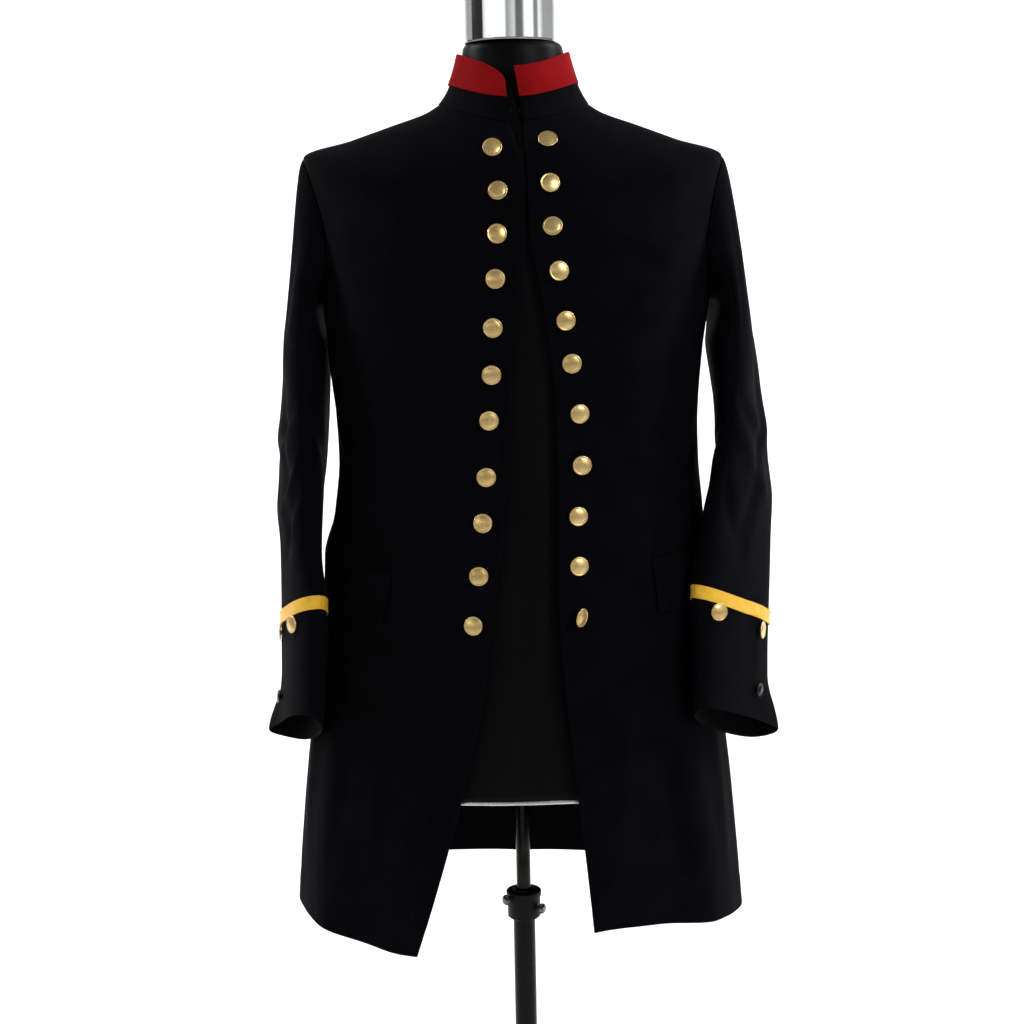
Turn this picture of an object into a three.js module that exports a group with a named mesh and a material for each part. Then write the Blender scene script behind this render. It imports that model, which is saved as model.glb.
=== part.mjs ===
// A hussar's black wool frock coat, hanging open on a smooth dress form with an adjustable stand.
// Millimetres. The origin is on the floor under the pole, +Z is up, the front faces -Y and
// +X is the wearer's left. Angles run round the body seen from above: -90 is the front,
// 0 the wearer's left side, 90 the back and 180 the wearer's right side.

import * as THREE from 'three';

// ---- driving dimensions -------------------------------------------------------------------

const CLOTH = 2.2;
const SEAM_GAP = 0.3;
const LAID_ON = 0.45;
const SEAM_ANGLE = 6;

const ARMHOLE = { centre: 1154, rise: 75, angle: 30 };
const TIP_STATION = ARMHOLE.centre + ARMHOLE.rise;
const SHOULDER_LEAN = { share: 0.012, from: 1020 };
const HEM_STATION = 395;
const HIP_STATION = 806;
const NECK_STATION = 1390;
const COLLAR = { wall: 2.4, bandWall: 1.0, bandFrom: 0.39 };
const BRAID = { centre: 746, width: 15, wall: 1.1 };
const FLAP = { wall: 2, height: 58, length: 57, slant: 3.5, standOff: 3.5, columns: 8, rows: 4 };
const FLAP_PLACES = { left: { start: -50.5, top: 811 }, right: { start: -53.5, top: 803 } };
const BUTTON = {
  radius: 10, dome: 1.1, rim: 2.2, shankRadius: 2.6, shank: 1.8, slackShank: 7.8, sides: 12 };
const CUFF_BUTTON_RADIUS = 9.5;
const VENT_BUTTON_RADIUS = 7.5;
const SLACK_TIP = 20;

const FORM = {
  bottom: 553, halfWidth: 197, bend: 14, rows: 10, columns: 32, neckHalf: 55, neckTop: 1351 };
const FORM_PLATE_THICK = 4;
const FORM_NECK = { foot: 1312, back: 6, depth: 0.9, shoulder: 8, topShare: 0.9 };
const NECK_CAP = { radius: 50.5, top: 1400, edge: 3, centre: 2.5 };
const POST = { radius: 8.2, bottom: 120 };
const FLANGE = { radius: 24, hubRadius: 14, thick: 5, hub: 18 };
const TUBE = { radius: 12.5, bore: 8.7, bottom: 24, top: 409 };
const CLAMP = { radius: 20, bottom: 375, top: 407, leftKnob: 389, rightKnob: 400 };
const KNOB = { radius: 6, length: 6, shaftRadius: 3, shaftLength: 1.5, toFront: 34 };
const BASE = { radius: 190, edge: 7, middle: 16, hubRadius: 30, hubTop: 62 };
const FIT = 0.35;
const PLATE_BOTTOM = FORM.bottom - FIT - FORM_PLATE_THICK;
const FLANGE_TOP = PLATE_BOTTOM - FIT;

// Rows of the body panels from the hem up, and their columns from edge to edge.
const ARMHOLE_STATIONS = spread(Math.PI, 0, 8).map((turn) => (
  ARMHOLE.centre + ARMHOLE.rise * Math.cos(turn)));
const SHOULDER_STATIONS = spread(TIP_STATION, NECK_STATION, 5);
const BODY_STATIONS = [
  ...spread(HEM_STATION, HIP_STATION, 7), ...spread(HIP_STATION, ARMHOLE_STATIONS[0], 6).slice(1),
  ...ARMHOLE_STATIONS.slice(1), ...SHOULDER_STATIONS.slice(1)];
const FRONT_COLUMNS = [0, 0.08, 0.19, 0.31, 0.43, 0.55, 0.67, 0.79, 0.91, 1];
const BACK_COLUMNS = [0, 0.1, 0.23, 0.36, 0.49, 0.62, 0.75, 0.88, 1];

// ---- tables: a row for each section, fold or button ---------------------------------------

// Level sections of the coat. Below the shoulder tip the station is the height at the side;
// above it the station goes on along the shoulder to the neck seam.
const BODY = smoothTable([
  'station', 'side', 'front', 'back', 'centre', 'half', 'frontDepth', 'backDepth', 'power'], [
  [395, 396, 397, 403, -3.5, 255.5, 148, 146, 2.05],
  [480, 480, 480, 482, -3.3, 248, 147, 142, 2.05],
  [595, 595, 595, 595, -3.2, 235, 144, 136, 2.05],
  [650, 650, 650, 650, -4, 223, 142, 133, 2.05],
  [720, 720, 720, 720, -3, 215, 139, 128, 2.1],
  [806, 806, 806, 806, 0, 214.5, 134, 117, 2.15],
  [850, 850, 850, 850, 2, 204, 130, 107, 2.2],
  [905, 905, 905, 905, 3, 198, 127, 101, 2.2],
  [960, 960, 960, 960, 2.5, 199, 128, 106, 2.2],
  [1020, 1020, 1016, 1020, 2, 204, 131, 117, 2.25],
  [1079, 1079, 1068, 1079, 4, 210, 133, 126, 2.3],
  [1160, 1160, 1134, 1145, 5, 219, 130, 128, 2.3],
  [1229, 1233, 1192, 1199, 3, 225, 112, 118, 2.25],
  [1280, 1252, 1216, 1233, 4, 174, 104, 108, 2.2],
  [1330, 1268, 1241, 1266, 5, 129, 93, 91, 2.1],
  [1365, 1280, 1258, 1288, 5, 95, 81, 74, 2.05],
  [1390, 1290.5, 1271, 1302, 5, 77.5, 73, 59, 2]]);

// Height of the hem above or below its level section, at each angle.
const HEM_RUN = smoothTable(['angle', 'rise'], [
  [-180, 10], [-150, 4], [-120, -12], [-90, 0], [-70, 16], [-35, 4], [0, -8], [60, -2],
  [90, 2], [180, 10]]);
const HEM_REACH = 230;

// Soft vertical folds of the skirts: height is outward at the hem, negative is a trough.
const SKIRT_FOLDS = namedRows(['angle', 'width', 'height', 'top'], [
  [-72, 5, 4, 760], [-52, 8, -5, 820], [-36, 7, 5, 800], [-14, 9, -4, 700],
  [-112, 6, 4, 740], [-131, 8, -5, 840], [-147, 8, 6, 820], [-168, 9, -4, 700],
  [24, 9, 4, 760], [44, 9, -6, 880], [66, 9, 6, 860], [90, 8, -5, 900],
  [113, 9, 6, 860], [136, 9, -6, 880], [158, 9, 4, 760]]);

// Where the two front edges hang: distance across from the pole axis at each height.
const FRONT_EDGES = smoothTable(['height', 'right', 'left'], [
  [370, -121, 77], [450, -95, 70], [560, -64, 59], [665, -39, 48], [775, -24, 41.5],
  [880, -9, 43], [985, -2, 41], [1085, 6, 29], [1135, 11, 19.5], [1184, 13.2, 16.8],
  [1214, 12.7, 16.3], [1244, 6, 15], [1275, -1, 14]]);

// Gilt buttons of the two front rows, from the top: place and the way each one tips.
const FRONT_BUTTONS = namedRows([
  'rightHeight', 'leftHeight', 'right', 'left', 'rightTip', 'leftTip'], [
  [1238, 1245, -18, 39, 6, -4], [1194, 1201, -13, 40, -5, 5], [1151, 1157, -15, 42, 4, -6],
  [1106, 1113, -17, 47, -7, 4], [1057, 1063, -21, 53, 3, 7], [1009, 1019, -23, 59, -4, -5],
  [962, 967, -27, 66, 6, 6], [903, 913, -31, 68, 5, -4], [855, 860, -35, 63, -8, 8],
  [800, 808, -41, 63, 5, 9], [748, 756, -47, 58, -9, 46]]);

const COLLAR_RUN = smoothTable([
  'rise', 'side', 'front', 'back', 'half', 'frontDepth', 'backDepth'], [
  [0, 1291, 1272, 1303, 77, 72.5, 58.5], [0.15, 1298, 1279.5, 1310, 73.6, 71.4, 56.8],
  [0.4, 1310, 1292, 1321, 68.8, 69.2, 54.2], [0.7, 1326, 1307.5, 1335, 63.4, 67, 52],
  [1, 1342, 1323, 1349, 59, 65, 50]]);
// Where the collar's two ends stand, and how far the right end's front corner is rounded off.
const COLLAR_ENDS = smoothTable(['rise', 'right', 'left'], [
  [0, -1, 14], [0.4, -2, 10.5], [1, -5, 6]]);
const COLLAR_CORNER = { drop: 0.3, reach: 30 };
const COLLAR_SHARES = [
  0, 0.012, 0.03, 0.055, 0.09, 0.14, ...spread(0.2, 0.86, 12), 0.91, 0.95, 1];

// Level sections of the empty sleeves: x and y place the middle, 'long' and 'thin' are half
// widths of the flattened tube, 'turn' is the angle of its long axis and 'tilt' how much
// higher its front fold lies than the middle.
const SLEEVE_COLUMNS = ['station', 'x', 'y', 'long', 'thin', 'turn', 'tilt'];
const SLEEVE = {
  left: smoothTable(SLEEVE_COLUMNS, [
    [600, 232, -62, 70, 20, 38, 30], [650, 231, -56, 70, 21.5, 38, 30],
    [700, 231, -52, 70, 22, 38, 29], [755, 232.5, -47, 70, 22.5, 38, 27],
    [843, 242, -30, 73, 24, 30, 17], [880, 246.5, -20, 75.5, 25, 24, 12],
    [935, 247.5, -9, 78, 25.5, 15, 5], [990, 243.5, 0, 80, 26, 8, 2],
    [1023, 239.5, 3, 82, 25.5, 4, 0], [1070, 236, 8, 82, 21, 0, 0],
    [1110, 233, 8, 80, 19.5, 0, 0]]),
  right: smoothTable(SLEEVE_COLUMNS, [
    [600, 242, -68, 69, 19, 17, 29], [650, 238, -59, 69, 20.5, 17, 28],
    [700, 236, -51, 69.5, 21, 17, 27], [755, 235.5, -43, 71, 21, 17, 25],
    [807, 237.5, -33, 73, 21.5, 12, 16], [866, 236, -19, 76, 23, 9, 10],
    [921, 234, -6, 78, 24.5, 7, 5], [976, 231.5, 0, 80, 25, 4, 2],
    [1030, 228, 5, 82, 24, 1, 0], [1070, 225.5, 8, 82, 20.5, 0, 0],
    [1110, 223, 8, 80, 19.5, 0, 0]]),
};
const SLEEVE_POWER = 2.15;
// The hem of each sleeve: its middle height, how much higher the outer face is cut, and how
// far the vent's edge stands out.
const SLEEVE_HEM = {
  left: { middle: 616, slant: 11, flare: 9 },
  right: { middle: 622, slant: 11, flare: 17 },
};
const SLEEVE_SEAMS = { forearm: 97, hindArm: 264, halfGap: 0.35 };
const SLEEVE_HEAD = { endStation: 1046, endSlant: 16 };
// Rows of the sleeve wall, on the cap and then down the tube, and its columns round the tube.
const SLEEVE_RUNS = [-1, -0.94, -0.86, -0.74, -0.6, -0.44, -0.28, -0.13, ...spread(0, 1, 12)];
const AROUND = {
  top: spread(
    SLEEVE_SEAMS.hindArm - 360 + SLEEVE_SEAMS.halfGap, SLEEVE_SEAMS.forearm - SLEEVE_SEAMS.halfGap, 10),
  under: spread(
    SLEEVE_SEAMS.forearm + SLEEVE_SEAMS.halfGap, SLEEVE_SEAMS.hindArm - SLEEVE_SEAMS.halfGap, 8),
};
const VENT = { around: 296, width: 30, back: 6, rise: 62 };

// Large creases across the sleeves: around is the place round the tube, 0 the outer face.
const SLEEVE_FOLDS = namedRows(['station', 'around', 'high', 'wide', 'depth'], [
  [985, 40, 26, 40, -4], [930, 10, 22, 45, 3], [895, 60, 20, 38, -4.5],
  [860, -20, 24, 42, 2.5], [820, 30, 24, 36, -3], [1100, -30, 30, 34, -3]]);

// Buttons of each cuff: the height, the place round the tube and the way each one tips.
const CUFF_BUTTONS = {
  left: namedRows(['station', 'around', 'tip'], [[730, 47, -13], [727, -22, 5]]),
  right: namedRows(['station', 'around', 'tip'], [[729, 36, 13], [728, -10, -5]]),
};
const VENT_BUTTON = { station: 660, around: -16, tip: 0 };

// ---- general helpers ----------------------------------------------------------------------

function namedRows(columns, rows) {
  return rows.map((row) => Object.fromEntries(columns.map((name, index) => [name, row[index]])));
}

// A table read at any value of its first column, with no overshoot between its rows.
function smoothTable(columns, rows) {
  const keys = rows.map((row) => row[0]);
  const slopes = columns.map((name, column) => {
    const steps = keys.slice(1).map((key, index) => (
      (rows[index + 1][column] - rows[index][column]) / (key - keys[index])));
    return keys.map((key, index) => {
      const before = steps[index - 1] ?? steps[index];
      const after = steps[index] ?? steps[index - 1];
      return before * after > 0 ? 2 * before * after / (before + after) : 0;
    });
  });
  return (value) => {
    const place = Math.min(Math.max(value, keys[0]), keys[keys.length - 1]);
    let index = 0;
    while (index < keys.length - 2 && place > keys[index + 1]) {
      index += 1;
    }
    const span = keys[index + 1] - keys[index];
    const t = (place - keys[index]) / span;
    return Object.fromEntries(columns.map((name, column) => {
      const start = rows[index][column];
      const end = rows[index + 1][column];
      const rise = (1 - t) * (1 - t) * t * span * slopes[column][index];
      const fall = t * t * (t - 1) * span * slopes[column][index + 1];
      return [name, start + (end - start) * t * t * (3 - 2 * t) + rise + fall];
    }));
  };
}

function lerp(start, end, share) {
  return start + (end - start) * share;
}

function smoothStep(low, high, value) {
  const t = Math.min(Math.max((value - low) / (high - low), 0), 1);
  return t * t * (3 - 2 * t);
}

function bell(distance, width) {
  return Math.exp(-distance * distance / (width * width));
}

function radians(degrees) {
  return degrees * Math.PI / 180;
}

function signedPower(value, power) {
  return Math.sign(value) * Math.abs(value) ** power;
}

function turnBetween(angle, other) {
  return ((angle - other + 540) % 360 + 360) % 360 - 180;
}

function spread(from, to, count) {
  return Array.from({ length: count + 1 }, (_, index) => lerp(from, to, index / count));
}

// The outward normal of a surface given by a function of two values, by small steps.
function normalOf(surface, up, around, stepUp, stepAround) {
  const rise = surface(up + stepUp, around).sub(surface(up - stepUp, around));
  const sweep = surface(up, around + stepAround).sub(surface(up, around - stepAround));
  return sweep.cross(rise).normalize();
}

// ---- closed meshes ------------------------------------------------------------------------

function closedGeometry(points, faces) {
  const geometry = new THREE.BufferGeometry();
  let volume = 0;
  for (const [a, b, c] of faces) {
    volume += points[a].dot(points[b].clone().cross(points[c]));
  }
  const outward = volume > 0 ? faces : faces.map(([a, b, c]) => [a, c, b]);
  geometry.setAttribute('position', new THREE.Float32BufferAttribute(
    points.flatMap((point) => point.toArray()), 3));
  geometry.setIndex(outward.flat());
  geometry.computeVertexNormals();
  return geometry;
}

// A wall between two grids of points; a wrapped wall closes on itself round a tube.
function wallGeometry(outer, inner, wrapped = false) {
  const rows = outer.length;
  const columns = outer[0].length;
  const points = [...outer.flat(), ...inner.flat()];
  const at = (row, column) => row * columns + column % columns;
  const lining = rows * columns;
  const faces = [];
  const quad = (a, b, c, d) => faces.push([a, b, c], [a, c, d]);
  const lastColumn = wrapped ? columns : columns - 1;
  for (let row = 0; row < rows - 1; row += 1) {
    for (let column = 0; column < lastColumn; column += 1) {
      const [a, b] = [at(row, column), at(row, column + 1)];
      const [d, c] = [at(row + 1, column), at(row + 1, column + 1)];
      quad(a, b, c, d);
      quad(a + lining, d + lining, c + lining, b + lining);
    }
  }
  for (let column = 0; column < lastColumn; column += 1) {
    const [a, b] = [at(0, column), at(0, column + 1)];
    const [d, c] = [at(rows - 1, column), at(rows - 1, column + 1)];
    quad(b, a, a + lining, b + lining);
    quad(d, c, c + lining, d + lining);
  }
  for (let row = 0; row < rows - 1 && !wrapped; row += 1) {
    const [a, d] = [at(row, 0), at(row + 1, 0)];
    const [b, c] = [at(row, columns - 1), at(row + 1, columns - 1)];
    quad(a, d, d + lining, a + lining);
    quad(c, b, b + lining, c + lining);
  }
  return closedGeometry(points, faces);
}

// A solid through a stack of closed rings, with a flat fan on its first and last ring.
function stackGeometry(rings) {
  const columns = rings[0].length;
  const points = rings.flat();
  const middle = (ring) => ring.reduce((sum, point) => sum.add(point), new THREE.Vector3())
    .divideScalar(columns);
  const bottom = points.push(middle(rings[0])) - 1;
  const top = points.push(middle(rings[rings.length - 1])) - 1;
  const faces = [];
  for (let column = 0; column < columns; column += 1) {
    const next = (column + 1) % columns;
    for (let row = 0; row < rings.length - 1; row += 1) {
      const low = row * columns;
      faces.push([low + column, low + next, low + columns + next]);
      faces.push([low + column, low + columns + next, low + columns + column]);
    }
    const high = (rings.length - 1) * columns;
    faces.push([bottom, next, column], [top, high + column, high + next]);
  }
  return closedGeometry(points, faces);
}

function turned(profile, sides) {
  const geometry = new THREE.LatheGeometry(profile.map(([r, z]) => new THREE.Vector2(r, z)), sides);
  return geometry.rotateX(Math.PI / 2);
}

// ---- the coat's surface -------------------------------------------------------------------

function skirtDrape(station, angle) {
  return SKIRT_FOLDS.reduce((sum, fold) => {
    const hang = smoothStep(fold.top, HEM_STATION, station);
    return sum + fold.height * hang * bell(turnBetween(angle, fold.angle), fold.width);
  }, 0);
}

function bodyPoint(station, angle) {
  const row = BODY(station);
  const [cos, sin] = [Math.cos(radians(angle)), Math.sin(radians(angle))];
  const depth = sin < 0 ? row.frontDepth : row.backDepth;
  const height = sin < 0 ? row.front : row.back;
  const drape = skirtDrape(station, angle);
  const away = new THREE.Vector2(cos / row.half, sin / depth).normalize().multiplyScalar(drape);
  const hemShare = smoothStep(HEM_STATION + HEM_REACH, HEM_STATION, station);
  const hem = HEM_RUN(turnBetween(angle, 0)).rise * hemShare;
  const across = row.half * signedPower(cos, 2 / row.power);
  const lean = SHOULDER_LEAN.share * across * smoothStep(SHOULDER_LEAN.from, TIP_STATION, station);
  return new THREE.Vector3(
    row.centre + across + away.x,
    depth * signedPower(sin, 2 / row.power) + away.y,
    row.side + (height - row.side) * sin * sin + hem - lean);
}

function bodyNormal(station, angle) {
  return normalOf(bodyPoint, station, angle, 1.5, 0.6);
}

function mirrored(side, angle) {
  return side > 0 ? angle : -180 - angle;
}

// The angle at which a level section meets the hanging front edge.
function frontEdgeAngle(side, station) {
  let angle = -90;
  for (let pass = 0; pass < 4; pass += 1) {
    const row = BODY(station);
    const edges = FRONT_EDGES(bodyPoint(station, angle).z);
    const across = ((side > 0 ? edges.left : edges.right) - row.centre) / row.half;
    angle = -Math.acos(signedPower(across, row.power / 2)) / radians(1);
  }
  return angle;
}

function degreesFor(station, angle, length) {
  const step = bodyPoint(station, angle + 0.5).distanceTo(bodyPoint(station, angle - 0.5));
  return length / step;
}

// How far the armhole reaches from the seam line at a station, as an angle.
function armholeReach(station) {
  const height = (station - ARMHOLE.centre) / ARMHOLE.rise;
  return Math.abs(height) < 1 ? ARMHOLE.angle * Math.sqrt(1 - height * height) : 0;
}

function panelGeometry(columns, startAngle, endAngle) {
  const outer = [];
  const inner = [];
  for (const station of BODY_STATIONS) {
    const start = startAngle(station);
    const end = endAngle(station);
    const angles = columns.map((share) => lerp(start, end, share));
    outer.push(angles.map((angle) => bodyPoint(station, angle)));
    inner.push(angles.map((angle) => (
      bodyPoint(station, angle).addScaledVector(bodyNormal(station, angle), -CLOTH))));
  }
  return wallGeometry(outer, inner);
}

// The edge of a front (toward -1) or a back (toward 1) along the side seam and the armhole.
function sideEdgeAngle(side, station, toward) {
  const seam = SEAM_ANGLE + toward * armholeReach(station);
  return mirrored(side, seam + toward * degreesFor(station, mirrored(side, seam), SEAM_GAP / 2));
}

function backEdgeAngle(side, station) {
  return mirrored(side, 90 - degreesFor(station, 90, SEAM_GAP / 2));
}

function frontGeometry(side) {
  return panelGeometry(
    FRONT_COLUMNS,
    (station) => frontEdgeAngle(side, station),
    (station) => sideEdgeAngle(side, station, -1));
}

function backGeometry(side) {
  return panelGeometry(
    BACK_COLUMNS,
    (station) => sideEdgeAngle(side, station, 1),
    (station) => backEdgeAngle(side, station));
}

// ---- sleeves ------------------------------------------------------------------------------

function hemOf(side) {
  return SLEEVE_HEM[side > 0 ? 'left' : 'right'];
}

function sleeveHem(side, around) {
  const hem = hemOf(side);
  return hem.middle + hem.slant * Math.cos(radians(around));
}

function sleeveRing(side, station, around) {
  const row = SLEEVE[side > 0 ? 'left' : 'right'](station);
  const turn = radians(row.turn);
  const [cos, sin] = [Math.cos(radians(around)), Math.sin(radians(around))];
  const out = new THREE.Vector3(Math.cos(turn) * side, -Math.sin(turn), 0);
  const back = new THREE.Vector3(Math.sin(turn) * side, Math.cos(turn), 0);
  const crease = SLEEVE_FOLDS.reduce((sum, fold) => sum + fold.depth
    * bell(station - fold.station, fold.high) * bell(turnBetween(around, fold.around), fold.wide), 0);
  const hem = sleeveHem(side, around);
  const flare = bell(turnBetween(around, VENT.around), VENT.width)
    * (1 - smoothStep(hem, hem + VENT.rise, station));
  return new THREE.Vector3(side * row.x, row.y, station + row.tilt * sin)
    .addScaledVector(out, (row.thin + crease) * signedPower(cos, 2 / SLEEVE_POWER))
    .addScaledVector(back, -row.long * signedPower(sin, 2 / SLEEVE_POWER) + VENT.back * flare)
    .add(new THREE.Vector3(side * hemOf(side).flare * flare, 0, 0));
}

// The cap sweeps from the armhole out over the sleeve head and down into the tube, as a
// curve with a direction at each end: share is 0 at the armhole and 1 where the tube begins.
function sleeveCap(side, share, around) {
  const [cos, sin] = [Math.cos(radians(around)), Math.sin(radians(around))];
  const station = ARMHOLE.centre + (ARMHOLE.rise - 0.5) * cos;
  const angle = mirrored(side, SEAM_ANGLE - (ARMHOLE.angle - 0.3) * sin);
  const start = bodyPoint(station, angle).addScaledVector(bodyNormal(station, angle), LAID_ON);
  const endStation = tubeStart(around);
  const end = sleeveRing(side, endStation, around);
  const down = sleeveRing(side, endStation - 1, around)
    .sub(sleeveRing(side, endStation + 1, around));
  const reach = start.distanceTo(end);
  const top = (1 + cos) / 2;
  const crown = top ** 3;
  const leave = new THREE.Vector3(side * (lerp(0.85, 0.3, top) - 0.21 * crown), -0.18 * sin,
    -0.55 * sin * sin - 0.1 * (1 - top) - 0.03 * crown);
  leave.multiplyScalar(reach);
  const arrive = down.normalize().multiplyScalar(reach * (lerp(0.8, 1.25, top) + 0.95 * crown));
  const t = share;
  return start.multiplyScalar((1 - t) * (1 - t) * (1 + 2 * t))
    .addScaledVector(leave, t * (1 - t) * (1 - t))
    .addScaledVector(end, t * t * (3 - 2 * t))
    .addScaledVector(arrive, t * t * (t - 1));
}

function tubeStart(around) {
  return SLEEVE_HEAD.endStation + SLEEVE_HEAD.endSlant * Math.cos(radians(around));
}

// The sleeve as one surface: run is negative on the cap, and goes from 0 to 1 down the tube.
function sleeveSurface(side) {
  return (run, around) => {
    if (run < 0) {
      return sleeveCap(side, 1 + run, around);
    }
    return sleeveRing(side, lerp(tubeStart(around), sleeveHem(side, around), run), around);
  };
}

function sleeveNormal(side, run, around) {
  const step = run < -0.001 ? Math.min(0.02, 1 + run + 0.004) : 0.012;
  const surface = sleeveSurface(side);
  const above = surface(Math.max(run - step, -1), around);
  const below = surface(Math.min(run + step, run < 0 ? -1e-6 : 1), around);
  const sweep = surface(run, around + 1.5).sub(surface(run, around - 1.5));
  const normal = sweep.cross(below.sub(above)).normalize();
  return side > 0 ? normal : normal.negate();
}

function sleeveGeometry(side, part) {
  const surface = sleeveSurface(side);
  const grid = (lift) => SLEEVE_RUNS.map((run) => AROUND[part].map((around) => (
    surface(run, around).addScaledVector(sleeveNormal(side, run, around), lift))));
  return wallGeometry(grid(0), grid(-CLOTH));
}

function runAt(side, around, station) {
  const start = tubeStart(around);
  return (station - start) / (sleeveHem(side, around) - start);
}

// A point of the sleeve's own facets, between the two rows of the wall that it lies between.
function sleeveFacetPoint(side, run, around) {
  const surface = sleeveSurface(side);
  const next = SLEEVE_RUNS.findIndex((value) => value > run);
  const [low, high] = [SLEEVE_RUNS[next - 1], SLEEVE_RUNS[next]];
  return surface(low, around).lerp(surface(high, around), (run - low) / (high - low));
}

function braidGeometry(side) {
  const circuit = [...AROUND.top, ...AROUND.under];
  const laid = (lift) => [0.5, 0, -0.5].map((share) => circuit.map((around) => {
    const run = runAt(side, around, BRAID.centre + share * BRAID.width);
    const normal = sleeveNormal(side, run, around);
    return sleeveFacetPoint(side, run, around).addScaledVector(normal, lift);
  }));
  return wallGeometry(laid(LAID_ON + BRAID.wall), laid(LAID_ON), true);
}

// ---- collar -------------------------------------------------------------------------------

function collarPoint(rise, angle) {
  const row = COLLAR_RUN(rise);
  const [cos, sin] = [Math.cos(radians(angle)), Math.sin(radians(angle))];
  const depth = sin < 0 ? row.frontDepth : row.backDepth;
  const height = sin < 0 ? row.front : row.back;
  return new THREE.Vector3(BODY(NECK_STATION).centre + row.half * cos, depth * sin,
    row.side + (height - row.side) * sin * sin);
}

function collarEndAngle(side, rise) {
  const ends = COLLAR_ENDS(rise);
  const across = (side > 0 ? ends.left : ends.right) - BODY(NECK_STATION).centre;
  return -Math.acos(across / COLLAR_RUN(rise).half) / radians(1);
}

// The top edge of the right-hand end is rounded off over its last few centimetres.
function collarTop(share) {
  const fromRightEnd = share * 2 * Math.PI * COLLAR_RUN(1).half;
  const near = Math.max(1 - fromRightEnd / COLLAR_CORNER.reach, 0);
  return 1 - COLLAR_CORNER.drop * (1 - Math.sqrt(Math.max(1 - near * near, 0)));
}

function collarGeometry(from, lift, wall) {
  const grid = (offset) => spread(0, 1, 3).map((step) => COLLAR_SHARES.map((share) => {
    const rise = lerp(from, collarTop(share), step);
    const start = collarEndAngle(-1, rise);
    const end = collarEndAngle(1, rise) - 360;
    const angle = lerp(start, end, share);
    const normal = normalOf(collarPoint, rise, angle, 0.02, 1);
    return collarPoint(rise, angle).addScaledVector(normal, offset);
  }));
  return wallGeometry(grid(lift), grid(lift - wall));
}

// ---- flaps and buttons --------------------------------------------------------------------

function flapGeometry(side) {
  const place = FLAP_PLACES[side > 0 ? 'left' : 'right'];
  const grid = (lift) => spread(0, 1, FLAP.rows).map((down) => (
    spread(0, 1, FLAP.columns).map((share) => {
      const station = place.top - down * FLAP.height;
      const swing = place.start + down * FLAP.slant;
      const length = degreesFor(station, mirrored(side, swing), FLAP.length);
      const angle = mirrored(side, swing + length * share);
      const away = FLAP.standOff * down * down * bell(share, 0.6);
      return bodyPoint(station, angle).addScaledVector(bodyNormal(station, angle), lift + away);
    })));
  return wallGeometry(grid(LAID_ON + FLAP.wall), grid(LAID_ON));
}

function buttonGeometry(radius, shank) {
  return turned([
    [0, 0], [BUTTON.shankRadius, 0], [BUTTON.shankRadius, shank], [radius * 0.96, shank],
    [radius, shank + BUTTON.rim * 0.5], [radius * 0.93, shank + BUTTON.rim],
    [0, shank + BUTTON.rim + BUTTON.dome]], BUTTON.sides);
}

// Sets a button on a cloth mesh: along the normal it meets the cloth, and it stands off by FIT.
function seatButton(button, cloth, point, normal, tipAxis, tip) {
  const from = point.clone().addScaledVector(normal, 30);
  const hit = new THREE.Raycaster(from, normal.clone().negate()).intersectObject(cloth)[0];
  const facing = hit.face.normal.clone();
  const clearance = FIT + Math.abs(Math.sin(radians(tip))) * BUTTON.shankRadius;
  button.position.copy(hit.point).addScaledVector(facing, clearance);
  button.quaternion.setFromUnitVectors(new THREE.Vector3(0, 0, 1), facing);
  button.quaternion.premultiply(new THREE.Quaternion().setFromAxisAngle(tipAxis, radians(tip)));
  return button;
}

// ---- the form and its stand ---------------------------------------------------------------

// How far the form lies inside the coat's outer face at each station, and its widest reach.
const FORM_INSET = smoothTable(['station', 'inset'], [
  [553, 19], [650, 17], [806, 14], [905, 12], [1020, 11], [1160, 9], [1229, 4.4], [1280, 3.4],
  [1365, 3.4], [1390, 4.5]]);

function formPoint(station, angle) {
  const inset = FORM_INSET(station).inset;
  const point = bodyPoint(station, angle).addScaledVector(bodyNormal(station, angle), -inset);
  const centre = BODY(station).centre;
  const reach = Math.abs(point.x - centre) / FORM.halfWidth;
  point.x = centre + (point.x - centre) / (1 + reach ** FORM.bend) ** (1 / FORM.bend);
  return point;
}

function formGeometry() {
  const angles = spread(0, 360, FORM.columns).slice(0, -1);
  const stations = [
    ...spread(FORM.bottom, ARMHOLE.centre, FORM.rows), lerp(ARMHOLE.centre, TIP_STATION, 0.6),
    ...SHOULDER_STATIONS];
  const rings = stations.map((station) => angles.map((angle) => formPoint(station, angle)));
  for (const point of rings[0]) {
    point.z = FORM.bottom;
  }
  const neck = (height, half) => angles.map((angle) => new THREE.Vector3(
    BODY(NECK_STATION).centre + half * Math.cos(radians(angle)),
    FORM_NECK.depth * half * Math.sin(radians(angle)) - FORM_NECK.back, height));
  rings.push(
    neck(FORM_NECK.foot, FORM.neckHalf), neck(FORM.neckTop - FORM_NECK.shoulder, FORM.neckHalf),
    neck(FORM.neckTop, FORM.neckHalf * FORM_NECK.topShare));
  return stackGeometry(rings);
}

function plateGeometry() {
  const angles = spread(0, 360, FORM.columns).slice(0, -1);
  const ring = (height) => angles.map((angle) => {
    const point = formPoint(FORM.bottom, angle);
    return point.setZ(height);
  });
  return stackGeometry([ring(PLATE_BOTTOM), ring(FORM.bottom - FIT)]);
}

function neckCapGeometry() {
  const { radius, top, edge } = NECK_CAP;
  const bottom = FORM.neckTop + FIT;
  return turned([
    [0, bottom], [radius, bottom], [radius, top - edge], [radius - edge * 0.3, top - edge * 0.3],
    [radius - edge, top], [0, top]], 32);
}

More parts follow.
